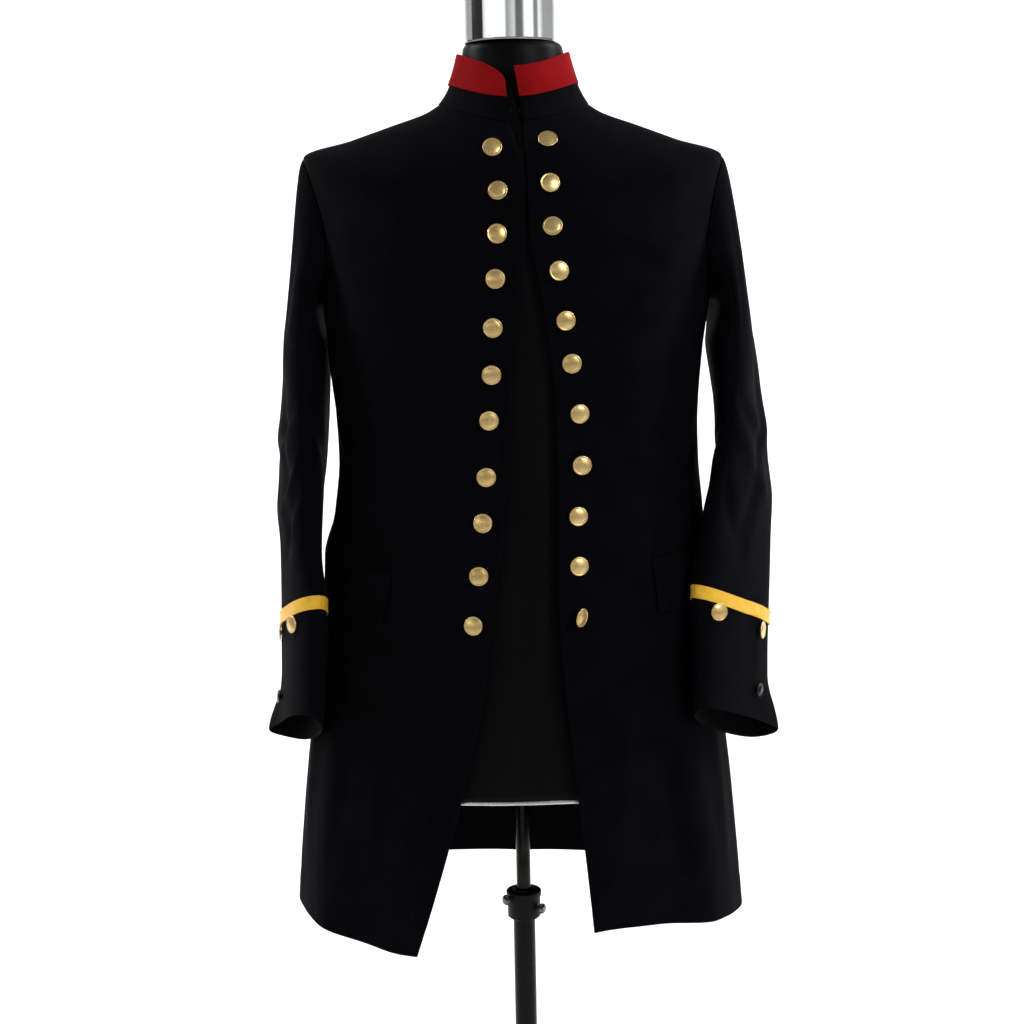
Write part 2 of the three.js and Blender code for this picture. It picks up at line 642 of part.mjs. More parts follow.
function flangeGeometry() {
  const { radius, hubRadius, thick, hub } = FLANGE;
  return turned([
    [0, FLANGE_TOP - hub], [hubRadius, FLANGE_TOP - hub], [hubRadius, FLANGE_TOP - thick],
    [radius, FLANGE_TOP - thick], [radius, FLANGE_TOP], [0, FLANGE_TOP]], 24);
}

function postGeometry() {
  const top = FLANGE_TOP - FLANGE.hub - FIT;
  return turned([[0, POST.bottom], [POST.radius, POST.bottom], [POST.radius, top], [0, top]], 20);
}

function pipeGeometry(bore, radius, bottom, top) {
  return turned([[bore, bottom], [radius, bottom], [radius, top], [bore, top], [bore, bottom]], 24);
}

function baseGeometry() {
  const bore = TUBE.radius + FIT;
  const floor = TUBE.bottom - FIT;
  const { radius, edge, middle, hubRadius, hubTop } = BASE;
  return turned([
    [0, 0], [radius, 0], [radius, edge], [radius - 8, edge + 3], [hubRadius + 16, middle],
    [hubRadius, hubTop - 24], [hubRadius - 4, hubTop], [bore, hubTop], [bore, floor], [0, floor]], 32);
}

function knobGeometry() {
  const { radius, length, shaftRadius, shaftLength } = KNOB;
  const end = shaftLength + length;
  return turned([
    [0, 0], [shaftRadius, 0], [shaftRadius, shaftLength], [radius * 0.9, shaftLength],
    [radius, shaftLength + 2], [radius, end - 3], [radius * 0.85, end], [0, end]], 16);
}

// ---- materials ----------------------------------------------------------------------------

const finish = (color, roughness, metalness) => () => new THREE.MeshStandardMaterial(
  { color, roughness, metalness, side: THREE.FrontSide });
const MATERIALS = {
  wool: finish(0x0b0c11, 0.9, 0),
  redCloth: finish(0x9c1418, 0.85, 0),
  gold: finish(0xc89a3c, 0.32, 1),
  blackHorn: finish(0x0a0a0a, 0.35, 0),
  braid: finish(0xe7a72c, 0.5, 0),
  satin: finish(0x08080a, 0.45, 0),
  chrome: finish(0xd6d8da, 0.12, 1),
  plate: finish(0xb9bcc0, 0.3, 1),
  blackSteel: finish(0x0c0c0d, 0.4, 0.3),
  blackPlastic: finish(0x0a0a0b, 0.5, 0),
};

// ---- assembly -----------------------------------------------------------------------------

const coat = new THREE.Group();

function add(name, geometry, material, parent = coat) {
  const mesh = new THREE.Mesh(geometry, MATERIALS[material]());
  mesh.name = name;
  parent.add(mesh);
  return mesh;
}

const SIDES = [['left', 1], ['right', -1]];
const twoDigits = (number) => String(number).padStart(2, '0');

for (const [name, side] of SIDES) {
  const front = add(`front_${name}`, frontGeometry(side), 'wool');
  add(`back_${name}`, backGeometry(side), 'wool');
  const topSleeve = add(`top_sleeve_${name}`, sleeveGeometry(side, 'top'), 'wool');
  add(`under_sleeve_${name}`, sleeveGeometry(side, 'under'), 'wool');
  add(`flap_${name}`, flapGeometry(side), 'wool');
  add(`braid_${name}`, braidGeometry(side), 'braid');

  FRONT_BUTTONS.forEach((row, index) => {
    const tip = row[`${name}Tip`];
    const shank = Math.abs(tip) > SLACK_TIP ? BUTTON.slackShank : BUTTON.shank;
    const button = add(`front_button_${name}_${twoDigits(index + 1)}`,
      buttonGeometry(BUTTON.radius, shank), 'gold');
    const place = new THREE.Vector3(row[name], -200, row[`${name}Height`]);
    const tipAxis = new THREE.Vector3(0.25, 0, 1).normalize();
    seatButton(button, front, place, new THREE.Vector3(0, -1, 0), tipAxis, tip);
  });

  const sleeveButton = (label, radius, material, { station, around, tip }) => {
    const run = runAt(side, around, station);
    const point = sleeveSurface(side)(run, around);
    const normal = sleeveNormal(side, run, around);
    const button = add(label, buttonGeometry(radius, BUTTON.shank), material);
    seatButton(button, topSleeve, point, normal, new THREE.Vector3(0, 0, 1), tip);
  };
  CUFF_BUTTONS[name].forEach((place, index) => (
    sleeveButton(`cuff_button_${name}_${index + 1}`, CUFF_BUTTON_RADIUS, 'gold', place)));
  sleeveButton(`vent_button_${name}`, VENT_BUTTON_RADIUS, 'blackHorn', VENT_BUTTON);
}

add('collar_stand', collarGeometry(0, 0, COLLAR.wall), 'wool').position.z = FIT;
const bandGeometry = collarGeometry(COLLAR.bandFrom, LAID_ON + COLLAR.bandWall, COLLAR.bandWall);
add('collar_band', bandGeometry, 'redCloth').position.z = FIT;

add('form_torso', formGeometry(), 'satin');
add('form_plate', plateGeometry(), 'plate');
add('neck_cap', neckCapGeometry(), 'chrome').position.set(NECK_CAP.centre, -FORM_NECK.back, 0);
add('flange', flangeGeometry(), 'blackSteel');
add('inner_post', postGeometry(), 'blackSteel');
add('outer_tube', pipeGeometry(TUBE.bore, TUBE.radius, TUBE.bottom, TUBE.top), 'blackSteel');
const clampGeometry = pipeGeometry(TUBE.radius + FIT, CLAMP.radius, CLAMP.bottom, CLAMP.top);
add('clamp_collar', clampGeometry, 'blackPlastic');
add('stand_base', baseGeometry(), 'blackSteel');
for (const [name, side] of SIDES) {
  const knob = add(`knob_${name}`, knobGeometry(), 'blackSteel');
  const turn = radians(KNOB.toFront);
  const away = new THREE.Vector3(side * Math.cos(turn), -Math.sin(turn), 0);
  knob.quaternion.setFromUnitVectors(new THREE.Vector3(0, 0, 1), away);
  knob.position.copy(away.multiplyScalar(CLAMP.radius + FIT)).setZ(CLAMP[`${name}Knob`]);
}

export default coat;
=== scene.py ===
# %% [markdown]
# # A hussar's frock coat on a dress form
# The coat is long black wool, cut in panels, with gilt buttons, a red collar band and a gold
# braid round each cuff. It hangs open on a smooth satin form on an adjustable stand.
# The frame holds every piece at its real size and place. Here each cloth piece becomes a thin
# shell on the same form with its creases, and each hard piece gets its finish.

import math

import bpy
import numpy as np
from mathutils import Matrix, Vector


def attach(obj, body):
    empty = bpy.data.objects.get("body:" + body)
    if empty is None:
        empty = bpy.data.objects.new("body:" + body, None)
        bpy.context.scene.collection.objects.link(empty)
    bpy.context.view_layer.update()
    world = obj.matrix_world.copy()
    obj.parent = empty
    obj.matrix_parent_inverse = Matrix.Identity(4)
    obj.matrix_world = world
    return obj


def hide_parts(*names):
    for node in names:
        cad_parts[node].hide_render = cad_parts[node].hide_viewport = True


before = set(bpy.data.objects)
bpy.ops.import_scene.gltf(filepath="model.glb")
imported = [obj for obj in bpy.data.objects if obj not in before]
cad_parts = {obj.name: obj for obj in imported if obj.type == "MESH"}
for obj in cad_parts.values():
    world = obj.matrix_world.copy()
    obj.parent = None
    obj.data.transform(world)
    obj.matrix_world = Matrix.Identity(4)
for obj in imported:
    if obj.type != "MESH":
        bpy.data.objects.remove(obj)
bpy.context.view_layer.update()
MM = 0.001
SIDES = {"left": 1, "right": -1}

# %% [markdown]
# ## Shared steps
# Every object, shader node and plain material is made in the same few steps, so these are
# written once.

# %% Objects, nodes and plain materials
SHEEN_ROUGHNESS = 0.45


def linked(name, data):
    """A new object for some data, put in the scene."""
    item = bpy.data.objects.new(name, data)
    bpy.context.scene.collection.objects.link(item)
    return item


def smooth_piece(name, points, faces, material):
    """A smooth mesh piece from a list of points in metres and a list of faces."""
    mesh = bpy.data.meshes.new(name)
    mesh.from_pydata(points, [], faces)
    mesh.polygons.foreach_set("use_smooth", [True] * len(mesh.polygons))
    mesh.materials.append(material)
    mesh.update()
    return linked(name, mesh)


def new_finish(name, color, roughness, metallic=0.0, sheen=0.0, specular=0.5):
    """A material with its shader's plain values set, and the shader itself."""
    material = bpy.data.materials.new(name)
    material.use_nodes = True
    shader = material.node_tree.nodes["Principled BSDF"]
    values = {"Base Color": (*color, 1), "Roughness": roughness, "Metallic": metallic,
              "Specular IOR Level": specular, "Sheen Weight": sheen, "Sheen Roughness": SHEEN_ROUGHNESS}
    for socket, value in values.items():
        shader.inputs[socket].default_value = value
    return material, shader


def add_node(owner, kind, **values):
    """A node in the tree of a material or a world, with values for its sockets or itself."""
    node = owner.node_tree.nodes.new(kind)
    for name, value in values.items():
        if name in node.inputs:
            node.inputs[name].default_value = value
        else:
            setattr(node, name, value)
    return node


def join(owner, source, output, target, socket):
    owner.node_tree.links.new(source.outputs[output], target.inputs[socket])


def grey_ramp(world, end, marks):
    """A ramp of greys: one value at both ends, and a further one at each marked place."""
    node = add_node(world, "ShaderNodeValToRGB")
    for element in node.color_ramp.elements:
        element.color = (end, end, end, 1)
    for place, value in marks:
        node.color_ramp.elements.new(place).color = (value, value, value, 1)
    return node


print("sides:", ", ".join(SIDES))

# %% [markdown]
# ## The camera
# A long lens at chest height looks slightly down, far enough off for the whole coat. It is
# given as a focal length on a 36 mm wide sensor.

# %% Camera
CAMERA = {"place": (-0.0051, -1.9, 1.135), "pitch": 8.63, "roll": -1.12, "lens": 60.71, "sensor": 36}


def studio_camera():
    camera = linked("camera", bpy.data.cameras.new("camera"))
    camera.data.lens = CAMERA["lens"]
    camera.data.sensor_width = CAMERA["sensor"]
    pitch, roll = math.radians(CAMERA["pitch"]), math.radians(CAMERA["roll"])
    ahead = Vector((0, math.cos(pitch), -math.sin(pitch)))
    across = Vector((1, 0, 0))
    above = across.cross(ahead)
    right = across * math.cos(roll) + above * math.sin(roll)
    up = above * math.cos(roll) - across * math.sin(roll)
    camera.matrix_world = Matrix.Translation(CAMERA["place"]) @ Matrix(
        (right, up, -ahead)).transposed().to_4x4()
    bpy.context.scene.camera = camera


studio_camera()
print("camera: lens", CAMERA["lens"], "mm")

# %% [markdown]
# ## Floor and light
# Black wool shows its folds only by soft light from the side, so a large key light stands at
# the right, a weaker one fills from the left, and a pale sheet runs from the floor up behind
# the coat in one curve. The sheet is stage: it isn't part of the object.

# %% Floor
SHEET = {"half": 6.0, "front": -4.5, "back": 3.2, "bend": 1.2, "top": 5.0, "steps": 16}
PAPER = {"color": (0.93, 0.93, 0.93), "roughness": 0.95}


def backdrop():
    """A pale floor that turns up behind the object in a quarter circle."""
    turn = np.linspace(0, math.pi / 2, SHEET["steps"])
    along = [SHEET["front"], *(SHEET["back"] + SHEET["bend"] * np.sin(turn)), SHEET["back"] + SHEET["bend"]]
    rise = [0, *(SHEET["bend"] * (1 - np.cos(turn))), SHEET["top"]]
    points = [(x, y, z) for y, z in zip(along, rise) for x in (-SHEET["half"], SHEET["half"])]
    faces = [(2 * i, 2 * i + 1, 2 * i + 3, 2 * i + 2) for i in range(len(along) - 1)]
    paper, _ = new_finish("pale_paper", PAPER["color"], PAPER["roughness"], specular=0)
    smooth_piece("backdrop", points, faces, paper)


backdrop()
print("backdrop: pale sheet,", 2 * SHEET["half"], "m wide")

# %% Lights
LIGHTS = [
    # name, place, aim, size, power
    ("key", (1.9, -2.4, 2.5), (0, 0, 1.0), 1.3, 44),
    ("fill", (-2.6, -2.0, 1.7), (0, 0, 0.9), 1.8, 5),
    ("backdrop_left", (-2.6, 0.6, 2.6), (-0.8, 4.0, 0.6), 1.6, 150),
    ("backdrop_right", (2.6, 0.6, 2.6), (0.8, 4.0, 0.6), 1.6, 150),
]
WORLD = 0.13
# A low band of bright panels goes round the studio. Its dark gaps, by their turn from the
# front, are what the polished cap mirrors as upright lines.
PANELS = {"low": 0.05, "high": 0.22, "soft": 0.02, "behind": 0.42}
PANEL_EDGES = [
    # turn, light
    (-106, 0.42), (-103, 0.03), (-70, 0.03), (-46, 1.25), (-12, 1.25), (-8, 0.35), (10, 0.8),
    (16, 0.15), (30, 0.18), (37, 1.25), (57, 1.25), (61, 0.3), (69, 0.3), (75, 1.25), (88, 0.42)]


def soft_light(name, place, aim, size, power):
    light = bpy.data.lights.new(name, "AREA")
    light.shape, light.size, light.energy = "DISK", size, power
    lamp = linked(name, light)
    lamp.location = place
    lamp.rotation_euler = (Vector(place) - Vector(aim)).to_track_quat("Z", "Y").to_euler()


def studio_world(strength):
    """An even dim studio with a low band of bright panels round it."""
    world = bpy.data.worlds.new("studio")
    bpy.context.scene.world = world
    world.use_nodes = True
    where = add_node(world, "ShaderNodeTexCoord")
    split = add_node(world, "ShaderNodeSeparateXYZ")
    join(world, where, "Generated", split, "Vector")
    behind = add_node(world, "ShaderNodeMath", operation="MULTIPLY")
    behind.inputs[1].default_value = -1
    join(world, split, "Y", behind, 0)
    turn = add_node(world, "ShaderNodeMath", operation="ARCTAN2")
    join(world, split, "X", turn, 0)
    join(world, behind, 0, turn, 1)
    share = add_node(world, "ShaderNodeMapRange", **{"From Min": -math.pi, "From Max": math.pi})
    join(world, turn, 0, share, "Value")
    panels = grey_ramp(world, PANELS["behind"], [(edge / 360 + 0.5, light) for edge, light in PANEL_EDGES])
    join(world, share, "Result", panels, "Fac")
    low, high, soft = PANELS["low"], PANELS["high"], PANELS["soft"]
    height = grey_ramp(world, 0, [(low, 0), (low + soft, 1), (high, 1), (high + soft, 0)])
    join(world, split, "Z", height, "Fac")
    mix = add_node(world, "ShaderNodeMix", data_type="RGBA")
    dim, bright = [socket for socket in mix.inputs if socket.type == "RGBA"]
    mixed = [socket for socket in mix.outputs if socket.type == "RGBA"][0]
    dim.default_value = (strength, strength, strength, 1)
    join(world, height, "Color", mix, "Factor")
    world.node_tree.links.new(panels.outputs["Color"], bright)
    world.node_tree.links.new(mixed, world.node_tree.nodes["Background"].inputs["Color"])


for row in LIGHTS:
    soft_light(*row)
studio_world(WORLD)
bpy.context.scene.view_settings.view_transform = "Standard"
print("lights:", ", ".join(row[0] for row in LIGHTS))

# %% [markdown]
# ## Reading a table smoothly
# A tailor draws a curve through a few marks. The same is done here: each table has a row for
# a few places, and a smooth curve with no overshoot gives all that lies between.

# %% Tables and small curves
def smooth_table(columns, rows):
    """A table read at any value of its first column, with no overshoot between its rows."""
    rows = np.array(rows, float)
    keys = rows[:, 0]
    steps = np.diff(rows, axis=0) / np.diff(keys)[:, None]
    before, after = np.vstack([steps[:1], steps]), np.vstack([steps, steps[-1:]])
    same = before * after > 0
    slopes = np.where(same, 2 * before * after / np.where(same, before + after, 1), 0)

    def read(value):
        place = np.clip(np.asarray(value, float), keys[0], keys[-1])
        at = np.clip(np.searchsorted(keys, place, side="left") - 1, 0, len(keys) - 2)
        span = (keys[at + 1] - keys[at])[..., None]
        t = (place - keys[at])[..., None] / span
        found = (rows[at] + (rows[at + 1] - rows[at]) * t * t * (3 - 2 * t)
                 + (1 - t) ** 2 * t * span * slopes[at] + t * t * (t - 1) * span * slopes[at + 1])
        return {name: found[..., index] for index, name in enumerate(columns)}

    return read


def named_rows(columns, rows):
    return [dict(zip(columns, row)) for row in rows]


def smooth_step(low, high, value):
    t = np.clip((np.asarray(value, float) - low) / (high - low), 0, 1)
    return t * t * (3 - 2 * t)


def bell(distance, width):
    return np.exp(-(distance / width) ** 2)


def signed_power(value, power):
    return np.sign(value) * np.abs(value) ** power


def turn_between(angle, other):
    return (np.asarray(angle, float) - other + 180) % 360 - 180


def unit(vectors):
    return vectors / np.linalg.norm(vectors, axis=-1, keepdims=True)


def matched(*values):
    """Numbers or arrays as float arrays of one shape."""
    return np.broadcast_arrays(*(np.asarray(value, float) for value in values))


def cos_sin(angle):
    """Cosine and sine of an angle in degrees."""
    return np.cos(np.radians(angle)), np.sin(np.radians(angle))


def normal_of(surface, up, around, step_up, step_around):
    """The outward normal of a surface given by a function of two values."""
    rise = surface(up + step_up, around) - surface(up - step_up, around)
    sweep = surface(up, around + step_around) - surface(up, around - step_around)
    return unit(np.cross(sweep, rise))


print("tables: read by", smooth_table.__name__)

# %% [markdown]
# ## The coat's own form
# Level sections give the body of the coat. Millimetres here, and angles as seen from above:
# -90 is the front, 0 the wearer's left side and 90 the back. Above the shoulder tip the
# station runs on along the shoulder to the neck seam.

# %% Sections of the coat
CLOTH = 2.2
SEAM_GAP = 0.3
LAID_ON = 0.45
SEAM_ANGLE = 6
ARMHOLE = {"centre": 1154, "rise": 75, "angle": 30}
TIP_STATION = ARMHOLE["centre"] + ARMHOLE["rise"]
SHOULDER_LEAN = {"share": 0.012, "start": 1020}
HEM_STATION = 395
NECK_STATION = 1390
NORMAL_STEP = {"station": 1.5, "angle": 0.6}

BODY = smooth_table(
    ["station", "side", "front", "back", "centre", "half", "front_depth", "back_depth", "power"], [
        [395, 396, 397, 403, -3.5, 255.5, 148, 146, 2.05],
        [480, 480, 480, 482, -3.3, 248, 147, 142, 2.05],
        [595, 595, 595, 595, -3.2, 235, 144, 136, 2.05],
        [650, 650, 650, 650, -4, 223, 142, 133, 2.05],
        [720, 720, 720, 720, -3, 215, 139, 128, 2.1],
        [806, 806, 806, 806, 0, 214.5, 134, 117, 2.15],
        [850, 850, 850, 850, 2, 204, 130, 107, 2.2],
        [905, 905, 905, 905, 3, 198, 127, 101, 2.2],
        [960, 960, 960, 960, 2.5, 199, 128, 106, 2.2],
        [1020, 1020, 1016, 1020, 2, 204, 131, 117, 2.25],
        [1079, 1079, 1068, 1079, 4, 210, 133, 126, 2.3],
        [1160, 1160, 1134, 1145, 5, 219, 130, 128, 2.3],
        [1229, 1233, 1192, 1199, 3, 225, 112, 118, 2.25],
        [1280, 1252, 1216, 1233, 4, 174, 104, 108, 2.2],
        [1330, 1268, 1241, 1266, 5, 129, 93, 91, 2.1],
        [1365, 1280, 1258, 1288, 5, 95, 81, 74, 2.05],
        [1390, 1290.5, 1271, 1302, 5, 77.5, 73, 59, 2]])
HEM_RUN = smooth_table(["angle", "rise"], [
    [-180, 10], [-150, 4], [-120, -12], [-90, 0], [-70, 16], [-35, 4], [0, -8], [60, -2],
    [90, 2], [180, 10]])
HEM_REACH = 230
SKIRT_FOLDS = named_rows(["angle", "width", "height", "top"], [
    [-72, 5, 4, 760], [-52, 8, -5, 820], [-36, 7, 5, 800], [-14, 9, -4, 700],
    [-112, 6, 4, 740], [-131, 8, -5, 840], [-147, 8, 6, 820], [-168, 9, -4, 700],
    [24, 9, 4, 760], [44, 9, -6, 880], [66, 9, 6, 860], [90, 8, -5, 900],
    [113, 9, 6, 860], [136, 9, -6, 880], [158, 9, 4, 760]])
FRONT_EDGES = smooth_table(["height", "right", "left"], [
    [370, -121, 77], [450, -95, 70], [560, -64, 59], [665, -39, 48], [775, -24, 41.5],
    [880, -9, 43], [985, -2, 41], [1085, 6, 29], [1135, 11, 19.5], [1184, 13.2, 16.8],
    [1214, 12.7, 16.3], [1244, 6, 15], [1275, -1, 14]])


def skirt_drape(station, angle):
    total = 0
    for fold in SKIRT_FOLDS:
        hang = smooth_step(0, fold["top"] - HEM_STATION, fold["top"] - station)
        total = total + fold["height"] * hang * bell(turn_between(angle, fold["angle"]), fold["width"])
    return total


def depth_and_height(row, sin):
    """How deep and how high a level section is at an angle, given by its sine."""
    depth = np.where(sin < 0, row["front_depth"], row["back_depth"])
    height = np.where(sin < 0, row["front"], row["back"])
    return depth, row["side"] + (height - row["side"]) * sin * sin


def body_point(station, angle):
    """The coat's outer face at a station and an angle."""
    station, angle = matched(station, angle)
    row = BODY(station)
    cos, sin = cos_sin(angle)
    depth, height = depth_and_height(row, sin)
    away = unit(np.stack([cos / row["half"], sin / depth], -1))
    drape = skirt_drape(station, angle)
    hem = HEM_RUN(turn_between(angle, 0))["rise"] * (
        1 - smooth_step(HEM_STATION, HEM_STATION + HEM_REACH, station))
    across = row["half"] * signed_power(cos, 2 / row["power"])
    lean = SHOULDER_LEAN["share"] * across * smooth_step(SHOULDER_LEAN["start"], TIP_STATION, station)
    return np.stack([
        row["centre"] + across + drape * away[..., 0],
        depth * signed_power(sin, 2 / row["power"]) + drape * away[..., 1],
        height + hem - lean], -1)


def body_normal(station, angle):
    return normal_of(body_point, station, angle, NORMAL_STEP["station"], NORMAL_STEP["angle"])


print("chest half width:", float(BODY(1160)["half"]), "mm")

# %% Edges of the panels
EDGE_SEARCH_STEPS = 6


def mirrored(side, angle):
    return angle if side > 0 else -180 - angle


def front_edge_angle(side, station):
    """The angle at which a level section meets the hanging front edge."""
    angle = np.full(np.shape(station), -90.0)
    for _ in range(EDGE_SEARCH_STEPS):
        row = BODY(station)
        edges = FRONT_EDGES(body_point(station, angle)[..., 2])
        across = (edges["left" if side > 0 else "right"] - row["centre"]) / row["half"]
        angle = -np.degrees(np.arccos(signed_power(across, row["power"] / 2)))
    return angle


def degrees_for(station, angle, length):
    """How many degrees a length in mm takes round the coat at a place."""
    step = np.linalg.norm(body_point(station, angle + 0.5) - body_point(station, angle - 0.5), axis=-1)
    return length / step


def armhole_reach(station):
    height = (station - ARMHOLE["centre"]) / ARMHOLE["rise"]
    return ARMHOLE["angle"] * np.sqrt(np.clip(1 - height ** 2, 0, 1))


def beside_seam(side, station, seam, way):
    """A panel's sewn edge: half a gap in front of a seam, way -1, or behind it, way 1."""
    return mirrored(side, seam + way * degrees_for(station, mirrored(side, seam), SEAM_GAP / 2))


def side_seam(side, station):
    return beside_seam(side, station, SEAM_ANGLE - armhole_reach(station), -1)


def back_side_seam(side, station):
    return beside_seam(side, station, SEAM_ANGLE + armhole_reach(station), 1)


def back_seam(side, station):
    return mirrored(side, 90 - degrees_for(station, 90, SEAM_GAP / 2))


print("side seams run down from the armholes at", SEAM_ANGLE, "degrees")

# %% [markdown]
# ## Creases
# Wool of this weight makes a few long soft creases, never a regular ripple. Each one is given
# as a short row: where it starts and ends, how wide it is, how far it stands out and how
# it bows. A faint unevenness over the whole cloth keeps the light from lying flat on it.

# %% Creases in cloth
CREASE_COLUMNS = ["up", "around", "to_up", "to_around", "width", "height", "bow"]
CREASE_FADE = 0.8
WAVES = {"count": 7, "short": 70, "long": 190, "heading": 0.7, "up_share": 0.45}


def crease_relief(creases, up, around):
    """Sum of soft ridges and troughs, each along a bowed line between two places, in mm."""
    total = np.zeros(np.broadcast(up, around).shape)
    for crease in creases:
        run_up = crease["to_up"] - crease["up"]
        run_around = crease["to_around"] - crease["around"]
        length = math.hypot(run_up, run_around)
        share = ((up - crease["up"]) * run_up + (around - crease["around"]) * run_around) / length ** 2
        inside = np.clip(share, 0, 1)
        bow = 4 * crease["bow"] * inside * (1 - inside)
        across = ((up - crease["up"]) * run_around - (around - crease["around"]) * run_up) / length
        fade = np.sin(math.pi * inside) ** CREASE_FADE
        total = total + crease["height"] * fade * bell(across - bow, crease["width"])
    return total


def slow_waves(up, around, seed, height):
    """A faint unevenness: a few slow waves, each its own length, direction and phase."""
    rng = np.random.default_rng(seed)
    total = np.zeros(np.broadcast(up, around).shape)
    for _ in range(WAVES["count"]):
        length = rng.uniform(WAVES["short"], WAVES["long"])
        heading = rng.uniform(-WAVES["heading"], WAVES["heading"])
        phase = rng.uniform(0, 2 * math.pi)
        across = around * math.cos(heading) + up * math.sin(heading) * WAVES["up_share"]
        total = total + np.sin(2 * math.pi * across / length + phase)
    return total * height / WAVES["count"]


print("creases: rows of", len(CREASE_COLUMNS), "values")

# %% [markdown]
# ## From a grid of points to a sewn panel
# Each panel is a wall of cloth: an outer face, an inner face and rounded edges. Where two
# panels meet, the cloth turns in, so a pressed seam shows as a narrow groove. Hard pieces are
# turned round an axis or stacked from rings.

# %% Mesh helpers
def vertex_grid(rows, columns, wrapped=True):
    """Vertex numbers of a grid of points; a wrapped one ends on its first column again."""
    index = np.arange(rows * columns).reshape(rows, columns)
    return np.hstack([index, index[:, :1]]) if wrapped else index


def grid_quads(index):
    return np.stack([index[:-1, :-1], index[:-1, 1:], index[1:, 1:], index[1:, :-1]], -1).reshape(-1, 4)


def link_mesh(name, points, quads, material, uv=None):
    """A smooth piece from points in millimetres, with its quads turned outwards."""
    points = np.asarray(points, float) * MM
    a, b, c, d = (points[quads[:, k]] for k in range(4))
    if np.einsum("ij,ij->", a, np.cross(b, c)) + np.einsum("ij,ij->", a, np.cross(c, d)) < 0:
        quads = quads[:, ::-1]
    mesh = bpy.data.meshes.new(name)
    mesh.vertices.add(len(points))
    mesh.vertices.foreach_set("co", points.ravel())
    mesh.loops.add(quads.size)
    mesh.loops.foreach_set("vertex_index", quads.ravel().astype(np.int32))
    mesh.polygons.add(len(quads))
    mesh.polygons.foreach_set("loop_start", np.arange(0, quads.size, 4, dtype=np.int32))
    mesh.polygons.foreach_set("use_smooth", np.ones(len(quads), bool))
    mesh.update()
    mesh.validate()
    if uv is not None:
        layer = mesh.uv_layers.new(name="UVMap")
        layer.data.foreach_set("uv", np.asarray(uv, float)[quads.ravel()].ravel())
    mesh.materials.append(material)
    return linked(name, mesh)


def arc_lengths(grid):
    """Distances along the columns and along the rows of a grid of points, in metres."""
    across, along = np.zeros(grid.shape[:2]), np.zeros(grid.shape[:2])
    across[:, 1:] = np.cumsum(np.linalg.norm(np.diff(grid, axis=1), axis=-1), axis=1)
    along[1:] = np.cumsum(np.linalg.norm(np.diff(grid, axis=0), axis=-1), axis=0)
    return np.stack([across, along], -1) * MM


def edge_distances(grid):
    """How far each point lies from the first and from the last column of its grid, in mm."""
    from_start = arc_lengths(grid)[..., 0] / MM
    return from_start, from_start[:, -1:] - from_start


def wall_faces(rows, columns, wrapped):
    """Quads of an outer face, an inner face and the edges between them."""
    index = vertex_grid(rows, columns, wrapped)
    face = grid_quads(index)
    lining = rows * columns
    quads = [face, face[:, ::-1] + lining]
    edges = [index[0, ::-1], index[-1]]
    if not wrapped:
        edges += [index[:, 0], index[::-1, -1]]
    for edge in edges:
        quads.append(np.stack([edge[:-1], edge[1:], edge[1:] + lining, edge[:-1] + lining], -1))
    return np.vstack(quads)


EDGE_ROUND = 0.32


def cloth_wall(name, outer, inner, material, wrapped=False, sewn=()):
    """A closed wall of cloth between two grids of points; edges that aren't sewn are rounded."""
    outer, inner = outer.copy(), inner.copy()
    edge = np.zeros(outer.shape[:2], bool)
    sides = {"low": (0, slice(None)), "high": (-1, slice(None))}
    if not wrapped:
        sides |= {"first": (slice(None), 0), "last": (slice(None), -1)}
    for side_name, where in sides.items():
        edge[where] |= side_name not in sewn
    middle = (outer + inner) / 2
    for face in (outer, inner):
        face[edge] += (middle - face)[edge] * 2 * EDGE_ROUND
    uv = arc_lengths(outer).reshape(-1, 2)
    points = np.vstack([outer.reshape(-1, 3), inner.reshape(-1, 3)])
    return link_mesh(name, points, wall_faces(*outer.shape[:2], wrapped), material, np.vstack([uv, uv]))


# %% Turned and stacked pieces
def capped_stack(name, rings, ends, material):
    """A solid through a stack of rings in mm, closed at each end by a fan round a point."""
    index = vertex_grid(*rings.shape[:2])
    points = np.vstack([rings.reshape(-1, 3), *ends]) * MM
    low, high = len(points) - 2, len(points) - 1
    fans = [(low, b, a) for a, b in zip(index[0, :-1], index[0, 1:])]
    fans += [(high, a, b) for a, b in zip(index[-1, :-1], index[-1, 1:])]
    return smooth_piece(name, points.tolist(), grid_quads(index).tolist() + fans, material)


def turned(profile, sides):
    """The rings that a profile of (radius, height) points makes when it is turned round Z."""
    turn = np.linspace(0, 2 * math.pi, sides, endpoint=False)
    radius, height = profile[:, :1], profile[:, 1:]
    return np.stack([radius * np.cos(turn), radius * np.sin(turn), np.repeat(height, sides, 1)], -1)


def lathe(name, profile, sides, material):
    """Turns a profile in mm into a solid piece; the profile starts and ends on the axis."""
    profile = np.array(profile, float)
    ends = [[0, 0, profile[0, 1]], [0, 0, profile[-1, 1]]]
    return capped_stack(name, turned(profile[1:-1], sides), ends, material)


def turned_ring(name, loop, sides, material):
    """Turns a closed loop of (radius, height) points in mm round Z into a hollow piece."""
    index = vertex_grid(len(loop), sides)
    points = turned(np.array(loop, float), sides).reshape(-1, 3)
    return link_mesh(name, points, grid_quads(np.vstack([index, index[:1]])), material)


def declare(piece, body, slot, *nodes):
    """Says which nodes a piece replaces, if any, and which body carries it; slot is not used."""
    if nodes:
        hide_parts(*nodes)
    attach(piece, body)
    print(f"{piece.name}: {len(piece.data.polygons)} faces")


